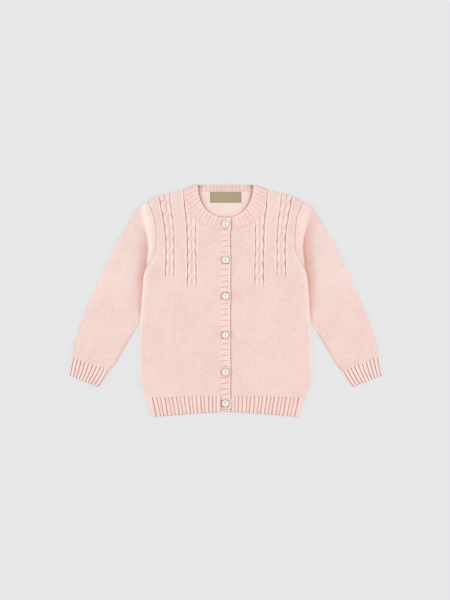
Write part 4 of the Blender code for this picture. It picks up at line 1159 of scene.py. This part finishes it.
def make_neckband(name, materials):
    """The ribbed neckband, one strip with its two ends on each other."""
    at, (free, seam, facing, outside, inside, shadow) = neckband_rows()
    across = spread((0.0, 0.1, 5), (0.1, 0.9, 14), (0.9, 1.0, 4))
    centre = lerp(free, seam, across[:, None])
    phase = (at / SECTIONS_PER_RIB)[:, None]
    height = rib(phase, 0.17)
    strip = ease((across - 0.07) / 0.1)
    from_free, from_seam = across * NECK_WIDTH, (1.0 - across) * NECK_WIDTH
    drop = edge_drop(from_free, 0.9) + 0.3 * edge_drop(from_seam, 0.9)
    roll = bell(across - 0.06, 0.05)
    ribbed = lerp(0.6, height, strip)
    out = BAND_WALL / 2 + RIB_RISE * 0.9 * (ribbed - 0.35) * outside + 0.2 * roll - drop
    back = BAND_WALL / 2 + 0.7 * RIB_RISE * height * inside * strip - drop
    outer = centre + facing * out[..., None]
    inner = centre - facing * back[..., None]

    # Painted shade and highlights: a highlight on the rolled free edge and on the ribs, shade in the
    # rib grooves as dashes, at the seam, under the free edge and in the sections' folds, the
    # buttonhole band's painted shadow on the under end, and a highlight with a dark line at the top
    # end.
    free_height = free[..., 1]
    dark = lerp(1.0, 0.45, ease((free_height - 138.0) / 25.0))
    dashes = (dark * bell(across - 0.25, 0.15) + 0.3 * bell(across - 0.86, 0.08)
              + inside * (0.2 + 0.45 * bell(across - 0.1, 0.08))
              + 0.25 * outside * ease((free_height - 145.0) / 25.0))
    uneven = 0.8 + 0.3 * np.sin(2.6 * np.floor(phase + 0.5))
    low_seam = 0.35 * outside * ease((160.0 - free_height) / 20.0)
    from_end = BAND_EDGE_X - centre[..., 0]
    past_band = np.maximum(-from_end - 0.2, 0.0)
    on_left = (at > (at[-1] + 1) / 2)[:, None] * (facing[..., 2] > 0.95)
    top_end = (at < TOP_END_SECTIONS)[:, None] * strip
    under_edge = lerp(0.35, 1.0, ease((free_height - 135.0) / 35.0)) * outside
    shade = (0.5 * roll + shadow - 0.02 - (0.12 + dashes * uneven) * (1.0 - height) * strip
             + 0.4 * outside * height * bell(across - 0.25, 0.12)
             - (0.08 + low_seam) * bell(from_seam, 0.9) - 0.8 * on_left * bell(past_band, 0.6)
             + top_end * (1.3 * bell(from_end - 1.9, 1.3) - 0.7 * bell(from_end, 0.55))
             - under_edge * bell(from_free, 0.75))
    piece = cloth(name, outer, inner, grid(phase * RIB_WIDTH, from_free), shade, materials,
                  (1, 2), lined=True)
    return piece


# ---- buttons and label

def make_button_mesh(material):
    """A two-hole button with a dished middle and a raised round rim."""
    profile = [(0.0, 1.55), (1.2, 1.56), (2.4, 1.62), (3.1, 1.78), (3.5, 2.1), (3.9, 2.42),
               (4.4, 2.55), (4.9, 2.42), (5.35, 2.05), (5.62, 1.6), (BUTTON_RADIUS, 1.2),
               (5.6, 0.75), (5.3, 0.35), (4.8, 0.1), (4.2, 0.0), (0.0, 0.0)]
    mesh = bpy.data.meshes.new("button_turned")
    mesh.from_pydata([(r * MM, 0.0, z * MM) for r, z in profile],
                     [(k, k + 1) for k in range(len(profile) - 1)], [])
    turned = placed("button_turned", mesh)
    turn = turned.modifiers.new("Turn", "SCREW")
    turn.steps = turn.render_steps = 64
    turn.use_merge_vertices = True
    turn.merge_threshold = 0.00001
    cutters = []
    for offset in (-BUTTON_HOLE_OFFSET, BUTTON_HOLE_OFFSET):
        bpy.ops.mesh.primitive_cylinder_add(vertices=24, radius=BUTTON_HOLE_RADIUS * MM,
                                            depth=8 * MM, location=(0.0, offset * MM, 0.0))
        cutters.append(bpy.context.object)
        cut = turned.modifiers.new("Hole", "BOOLEAN")
        cut.operation = "DIFFERENCE"
        cut.object = cutters[-1]
    bevel = turned.modifiers.new("Soft holes", "BEVEL")
    bevel.width = 0.15 * MM
    bevel.segments = 2
    bevel.limit_method = "ANGLE"
    bevel.angle_limit = math.radians(50.0)
    made = bpy.data.meshes.new_from_object(
        turned.evaluated_get(bpy.context.evaluated_depsgraph_get()))
    for thing in cutters + [turned]:
        bpy.data.objects.remove(thing, do_unlink=True)
    shade_button(made)
    made.materials.clear()
    made.materials.append(material)
    made.shade_smooth()
    made.set_sharp_from_angle(angle=math.radians(50.0))
    return made


def shade_button(mesh):
    """Paints shade into the holes and round the dish's edge, and a painted shadow round the rim."""
    places = np.empty(len(mesh.vertices) * 3)
    mesh.vertices.foreach_get("co", places)
    x, y, z = places.reshape(-1, 3).T / MM
    in_hole = np.hypot(x, np.abs(y) - BUTTON_HOLE_OFFSET) - BUTTON_HOLE_RADIUS
    holes = 1.0 - ease(in_hole / 0.7)
    ring = 0.4 * bell(np.hypot(x, y) - 3.25, 0.4) * (z > 1.0)
    rim = ease((np.hypot(x, y) - 4.8) / 0.6)
    add_painted_shade(mesh, -np.clip(holes + ring + rim, 0.0, 1.0))


def make_buttons(material, thread):
    mesh = make_button_mesh(material)
    for index, y in enumerate(BUTTON_YS, 1):
        own = mesh.copy()
        own.name = f"button_{index}_turned"
        piece = placed(f"button_{index}_turned", own)
        piece.location = (0.0, y * MM, BUTTON_Z * MM)
        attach(piece, "root")
        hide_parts(f"button_{index}")
        make_button_thread(f"button_{index}_thread", y, thread)


def thread_path(strand):
    """Places of a strand of thread, up from one hole of a button and down the other."""
    for k in range(THREAD_STEPS + 1):
        share = k / THREAD_STEPS
        arch = 0.25 * math.sin(math.pi * share) ** 0.5
        sunk = 1.3 * max(0.0, abs(share - 0.5) - 0.4) / 0.1
        yield (strand * (1.0 - 0.3 * abs(2 * share - 1)),
               lerp(-BUTTON_HOLE_OFFSET, BUTTON_HOLE_OFFSET, share),
               BUTTON_Z + 1.62 + arch - sunk)


def make_button_thread(name, y, material):
    """Strands from hole to hole of a button, laid side by side."""
    bm = bmesh.new()
    for strand in (-0.13, 0.13):
        rings = []
        for x, along, z in thread_path(strand):
            ring = []
            for side in range(THREAD_SIDES):
                turn = 2 * math.pi * side / THREAD_SIDES
                point = (x + THREAD_RADIUS * math.cos(turn), y + along,
                         z + THREAD_RADIUS * math.sin(turn))
                ring.append(bm.verts.new([value * MM for value in point]))
            rings.append(ring)
        for one, two in zip(rings, rings[1:]):
            for side in range(THREAD_SIDES):
                bm.faces.new((one[side - 1], one[side], two[side], two[side - 1]))
        bm.faces.new(rings[0])
        bm.faces.new(rings[-1][::-1])
    bmesh.ops.recalc_face_normals(bm, faces=bm.faces)
    mesh = bpy.data.meshes.new(name)
    bm.to_mesh(mesh)
    bm.free()
    mesh.materials.append(material)
    mesh.shade_smooth()
    piece = placed(name, mesh)
    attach(piece, "root")


def make_label(name, materials):
    """The bare woven label with turned ends, sewn inside the back of the neck."""
    half_x, half_y = LABEL_WIDTH / 2, LABEL_HEIGHT / 2
    across = np.linspace(-1.0, 1.0, 61)
    up = np.linspace(-1.0, 1.0, 25)[:, None]
    past_corner = np.maximum(np.abs(up) * half_y - half_y + LABEL_CORNER, 0.0)
    inset = LABEL_CORNER - np.sqrt(np.maximum(LABEL_CORNER ** 2 - past_corner ** 2, 0.0))
    x = across * (half_x - inset)
    y = up * half_y + 0.0 * across
    from_edge = np.minimum(half_x - inset - np.abs(x), half_y - np.abs(y))
    turned_end = ease((np.abs(x) - half_x + LABEL_TURN) / 1.2)
    stitch = bell(np.abs(x) - half_x + 1.6, 0.35) * (0.5 + 0.5 * np.cos(2 * math.pi * y / 2.4))
    bow = 0.25 * np.cos(x / half_x * 1.4)
    z = SEAM_Z + 0.55 + bow + 0.15 * turned_end - edge_drop(from_edge, 0.5) - 0.25 * stitch
    outer = grid(x + LABEL_CENTRE[0], y + LABEL_CENTRE[1], z)
    inner = outer - np.array([0.0, 0.0, 0.5])
    # Painted shade in the stitches' dents and along the rounded edge.
    shade = -0.6 * stitch - 0.6 * bell(from_edge, 0.6)
    piece = cloth(name, outer, inner, grid(x, y), shade, materials, (4, 6))
    return piece


# ---- materials

def srgb(red, green, blue):
    """A screen colour, 0 to 255, as the linear values that shaders take."""
    linear = []
    for value in (red / 255, green / 255, blue / 255):
        linear.append(value / 12.92 if value <= 0.04045 else ((value + 0.055) / 1.055) ** 2.4)
    return (*linear, 1.0)


MIX_FACTOR, MIX_FIRST, MIX_SECOND = 0, 6, 7


def put(socket, value):
    """Sets a node's socket, or wires it to a Wire or to another node's output."""
    value = value.source if isinstance(value, Wire) else value
    if isinstance(value, bpy.types.NodeSocket):
        socket.id_data.links.new(value, socket)
    else:
        socket.default_value = value


def fill(node, **inputs):
    """Puts values into a node's inputs, whose names have underscores for spaces."""
    for name, value in inputs.items():
        put(node.inputs[name.replace("_", " ")], value)
    return node


class Wire:
    """A number in a material's node tree, for writing patterns as sums."""

    def __init__(self, source):
        self.source = source
        self.nodes = source.id_data.nodes

    def math(self, operation, *others):
        node = self.nodes.new("ShaderNodeMath")
        node.operation = operation
        for socket, value in zip(node.inputs, (self, *others)):
            put(socket, value)
        return Wire(node.outputs[0])

    def __add__(self, other):
        return self.math("ADD", other)

    def __sub__(self, other):
        return self.math("SUBTRACT", other)

    def __mul__(self, other):
        return self.math("MULTIPLY", other)

    def fraction(self):
        return self.math("FRACT")

    def whole(self):
        return self.math("FLOOR")

    def size(self):
        return self.math("ABSOLUTE")

    def wave(self, turns):
        """Cosine of the number as turns, from -1 to 1."""
        return (self * (2 * math.pi * turns)).math("COSINE")

    def between(self, low, high, soft=True):
        """0 at low and 1 at high, held outside."""
        node = self.nodes.new("ShaderNodeMapRange")
        node.interpolation_type = "SMOOTHSTEP" if soft else "LINEAR"
        fill(node, From_Min=low, From_Max=high, Value=self)
        return Wire(node.outputs["Result"])


class Surface:
    """A material under construction, with its nodes made by short calls."""

    def __init__(self, name, **inputs):
        self.material = bpy.data.materials.new(name)
        self.material.use_nodes = True
        self.nodes = self.material.node_tree.nodes
        self.shader = fill(self.nodes["Principled BSDF"], **inputs)

    def node(self, kind, **inputs):
        return fill(self.nodes.new(kind), **inputs)

    def knit_place(self):
        """Across and along the knitting, in mm."""
        node = self.node("ShaderNodeUVMap")
        node.uv_map = "knit"
        split = self.node("ShaderNodeSeparateXYZ", Vector=node.outputs["UV"])
        return [Wire(split.outputs[axis]) * 1000.0 for axis in ("X", "Y")]

    # Reads the painted shade (below 0) and painted highlights (above 0) kept on each vertex.
    def crease_and_painted_shade(self):
        node = self.node("ShaderNodeAttribute")
        node.attribute_name = "crease_and_painted_shade"
        return Wire(node.outputs["Fac"])

    def noise(self, size, detail=2.0, stretch=(1.0, 1.0, 1.0)):
        """Smooth noise from 0 to 1 with blotches about size mm across, fixed to the object."""
        place = self.node("ShaderNodeTexCoord")
        scaled = self.node("ShaderNodeMapping", Vector=place.outputs["Object"],
                           Scale=[value / (size * MM) for value in stretch])
        noise = self.node("ShaderNodeTexNoise", Vector=scaled.outputs["Vector"],
                          Scale=1.0, Detail=detail)
        return Wire(noise.outputs["Fac"])

    def scatter(self, u, v):
        """A random number from 0 to 1 for each whole place."""
        joined = fill(self.node("ShaderNodeCombineXYZ"), X=u.whole(), Y=v.whole())
        random = self.node("ShaderNodeTexWhiteNoise", Vector=joined.outputs["Vector"])
        random.noise_dimensions = "2D"
        return Wire(random.outputs["Value"])

    def blend(self, one, two, share):
        """A colour between two, each a colour or the output of another blend."""
        node = self.node("ShaderNodeMix")
        node.data_type = "RGBA"
        node.clamp_factor = True
        for socket, value in ((MIX_FACTOR, share), (MIX_FIRST, one), (MIX_SECOND, two)):
            put(node.inputs[socket], value)
        return node.outputs[2]

    def darkened(self, colour, dark, strength):
        """A colour blended into a darker one where shade is painted on the piece."""
        share = self.crease_and_painted_shade().between(0.0, -1.0, soft=False) * strength
        return self.blend(colour, dark, share)

    def finished(self, colour, height, depth, strength):
        """The material, with its colour and its bump, depth mm high."""
        bump = self.node("ShaderNodeBump", Strength=strength, Distance=depth * MM, Height=height)
        fill(self.shader, Base_Color=colour, Normal=bump.outputs["Normal"])
        return self.material


def stocking_stitch(u, v):
    """Height of V-shaped stitches, 0 to 1: a wale across and a course along are 1 each."""
    from_middle = (u.fraction() - 0.5).size() * 2.0
    wale = from_middle.between(1.0, 0.66) * (from_middle.between(0.0, 0.26) * 0.45 + 0.55)
    leg = ((v - from_middle * 0.85).fraction() - 0.5).size() * 2.0
    return wale * (leg.between(1.0, 0.25) * 0.6 + 0.4)


def purl_stitch(u, v):
    """Height of the small loops on the wrong side, 0 to 1, set like bricks."""
    row = v * 2.0
    aside = (row.whole() * 0.5).fraction()
    from_middle = ((u + aside).fraction() - 0.5).size() * 2.0
    arch = from_middle * from_middle * 0.35
    from_row = ((row + arch).fraction() - 0.5).size() * 2.0
    return from_middle.between(1.0, 0.45) * from_row.between(1.0, 0.3)


def knit_material(name, tones, stitch, depth, hollow_shade_share=0.95):
    """Knitted cloth in pale pink yarn: stitches as bump, softly uneven in tone, with painted shade
    in the stitches' hollows and the piece's painted shade and highlights.
    """
    # Tones: the yarn's own colour, painted shade in the stitch hollows, painted shade, deeper
    # painted shade and painted highlight.
    base, hollow_shade, shaded, deep_shade, light = (srgb(*tone) for tone in tones)
    surface = Surface(name, Roughness=0.9, Sheen_Weight=0.18, Sheen_Roughness=0.55,
                      Sheen_Tint=(1.0, 0.93, 0.9, 1.0), Specular_IOR_Level=0.18)
    u, v = surface.knit_place()
    wander = surface.noise(34.0) - 0.5
    u = u * (1 / WALE) + wander * 0.35
    v = v * (1 / COURSE) + (surface.noise(21.0) - 0.5) * 0.5
    height = stitch(u, v)
    fibre = surface.noise(0.5, 3.0)
    tone = surface.noise(46.0) * 0.6 + surface.noise(9.0) * 0.4
    own = surface.scatter(u, v)
    # Painted shade in the hollows between the stitches.
    colour = surface.blend(base, hollow_shade, height.between(0.85, 0.05) * hollow_shade_share)
    # The yarn's own uneven tone, at random, lighter and darker.
    colour = surface.blend(colour, light, tone.between(0.42, 0.66) * 0.11 + own * 0.26)
    colour = surface.blend(colour, hollow_shade, tone.between(0.54, 0.34) * 0.09)
    # Painted highlights where the vertex shade is above 0, painted shade and a deeper painted shade
    # where it is below 0.
    crease_and_painted_shade = surface.crease_and_painted_shade()
    for blended, start, end, most in ((light, 0.0, 1.0, 0.75), (shaded, 0.0, -0.6, 0.7),
                                      (deep_shade, -0.4, -1.1, 0.9)):
        colour = surface.blend(colour, blended, crease_and_painted_shade.between(start, end, soft=False) * most)
    return surface.finished(colour, height + fibre * 0.16, depth, 0.8)


def label_material():
    """Khaki taffeta ribbon with fine ribs across, with painted shade in the weave's hollows and at
    its edges and stitches.
    """
    surface = Surface("label_weave", Roughness=0.72, Sheen_Weight=0.12, Specular_IOR_Level=0.35)
    u, v = surface.knit_place()
    warp = u.wave(1 / 0.45) * 0.5 + 0.5
    weft = v.wave(1 / 0.32) * 0.5 + 0.5
    height = warp * 0.45 + weft * 0.55
    tone = surface.noise(7.0, 3.0)
    # Painted shade in the weave's hollows.
    colour = surface.blend(srgb(168, 157, 127), srgb(148, 136, 107), height.between(0.6, 0.1))
    colour = surface.blend(colour, srgb(190, 180, 149), tone.between(0.5, 0.72) * 0.18)
    # Painted shade along the label's edges and stitches.
    colour = surface.darkened(colour, srgb(128, 114, 82), 0.9)
    return surface.finished(colour, height + tone * 0.3, 0.12, 0.7)


def button_material():
    """Ivory with faint clouds, as horn or shell has, and a soft gloss."""
    surface = Surface("button_ivory", Roughness=0.3, Coat_Weight=0.25, Coat_Roughness=0.15,
                      Subsurface_Weight=0.15, Subsurface_Radius=(0.002, 0.0016, 0.001),
                      Subsurface_Scale=1.0)
    cloud = surface.noise(5.0, 3.0, stretch=(1.0, 0.5, 1.0))
    fine = surface.noise(1.1)
    colour = surface.blend(srgb(253, 246, 230), srgb(238, 230, 211), cloud.between(0.42, 0.7))
    colour = surface.blend(colour, srgb(255, 251, 239), fine.between(0.5, 0.75) * 0.4)
    # Grey-green painted shade in the holes and round the dish, and a painted shadow at the rim.
    colour = surface.darkened(colour, srgb(132, 134, 108), 0.85)
    return surface.finished(colour, fine, 0.03, 0.4)


def thread_material():
    """Off-white sewing thread with a fine twist."""
    surface = Surface("button_thread", Roughness=0.7)
    twist = surface.noise(0.25, stretch=(1.0, 0.4, 1.0))
    colour = surface.blend(srgb(228, 221, 202), srgb(196, 188, 164), twist.between(0.4, 0.65))
    return surface.finished(colour, twist, 0.08, 0.8)


def floor_material():
    """Pale grey paper that gives off some light, for an even ground."""
    surface = Surface("floor_paper", Roughness=0.95, Specular_IOR_Level=0.0,
                      Emission_Color=srgb(231, 231, 232), Emission_Strength=0.8)
    grain = surface.noise(900.0, 1.0)
    colour = surface.blend(srgb(104, 104, 106), srgb(106, 106, 108), grain)
    fill(surface.shader, Base_Color=colour)
    return surface.material


# ---- the setting

def make_floor():
    bpy.ops.mesh.primitive_plane_add(size=8.0, location=(0.0, 0.0, -0.0002))
    floor = bpy.context.object
    floor.name = "floor"
    floor.data.materials.append(floor_material())
    floor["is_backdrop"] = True


def make_light(name, place, size, power):
    """A square soft light that faces the middle of the floor."""
    data = bpy.data.lights.new(name, "AREA")
    data.shape = "SQUARE"
    data.size = size
    data.energy = power
    light = placed(name, data)
    light.location = place
    light.rotation_euler = (-Vector(place)).to_track_quat("-Z", "Y").to_euler()


def make_lights():
    make_light("left_softbox", (-3.4, 0.2, 2.7), 2.6, 78.0)
    make_light("right_softbox", (3.4, 0.2, 2.7), 2.6, 78.0)
    make_light("top_softbox", (0.0, 0.6, 4.2), 3.0, 26.5)
    world = bpy.data.worlds.new("studio")
    world.use_nodes = True
    fill(world.node_tree.nodes["Background"], Color=(0.98, 0.985, 1.0, 1.0), Strength=0.59)
    bpy.context.scene.world = world


def make_camera():
    """Straight above, framing 720 by 960 mm of the floor as the photograph does."""
    height = 3.0
    framed = 0.960
    data = bpy.data.cameras.new("camera")
    data.sensor_width = 36.0
    data.lens = data.sensor_width * height / framed
    camera = placed("camera", data)
    camera.location = (-0.0008, 0.0005, height)
    bpy.context.scene.camera = camera


def dress(node, piece):
    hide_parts(node)


def make_cardigan():
    # Each set of tones: the yarn's own colour, painted shade in the stitch hollows, painted shade,
    # deeper painted shade and painted highlight.
    knit_tones = ((245, 218, 210), (223, 179, 169), (235, 156, 142), (176, 126, 118),
                  (255, 237, 229))
    wrong_tones = ((248, 228, 220), (231, 195, 185), (234, 158, 148), (206, 126, 118),
                   (254, 237, 229))
    rib_tones = ((246, 215, 206), (228, 184, 174), (223, 170, 161), (180, 134, 127),
                 (255, 239, 232))
    knit = knit_material("knit_pink", knit_tones, stocking_stitch, 0.5)
    wrong = knit_material("knit_pink_inside", wrong_tones, purl_stitch, 0.35, 0.5)
    ribbed = knit_material("rib_pink", rib_tones, stocking_stitch, 0.45)
    rib_wrong = knit_material("rib_pink_inside", rib_tones, purl_stitch, 0.4)

    dress("back", make_back("back_knit", [wrong, knit]))
    dress("hem_back", make_back_hem("hem_back_rib", [ribbed]))
    for side, word in ((RIGHT_SIDE, "right"), (LEFT_SIDE, "left")):
        dress(f"front_{word}", make_front(f"front_{word}_knit", side, [knit, wrong]))
        dress(f"hem_front_{word}",
              make_front_hem(f"hem_front_{word}_rib", side, [ribbed, rib_wrong]))
        dress(f"sleeve_{word}", make_sleeve(f"sleeve_{word}_knit", side, [knit, wrong]))
        dress(f"cuff_{word}", make_cuff(f"cuff_{word}_rib", side, [ribbed, rib_wrong]))
    dress("band_button", make_under_band("band_button_rib", [ribbed, rib_wrong]))
    dress("band_buttonhole", make_top_band("band_buttonhole_rib", [ribbed, rib_wrong]))
    dress("neckband", make_neckband("neckband_rib", [ribbed, ribbed]))
    dress("label", make_label("label_ribbon", [label_material()]))
    make_buttons(button_material(), thread_material())


def write_sizes():
    """Reads the corners of the box of the solids and of the box of what shows."""
    for name, box in (("cad", cad_box), ("visual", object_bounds())):
        [list(corner) for corner in box]


bpy.context.scene.view_settings.view_transform = "Standard"
make_floor()
make_lights()
make_camera()
make_cardigan()
write_sizes()
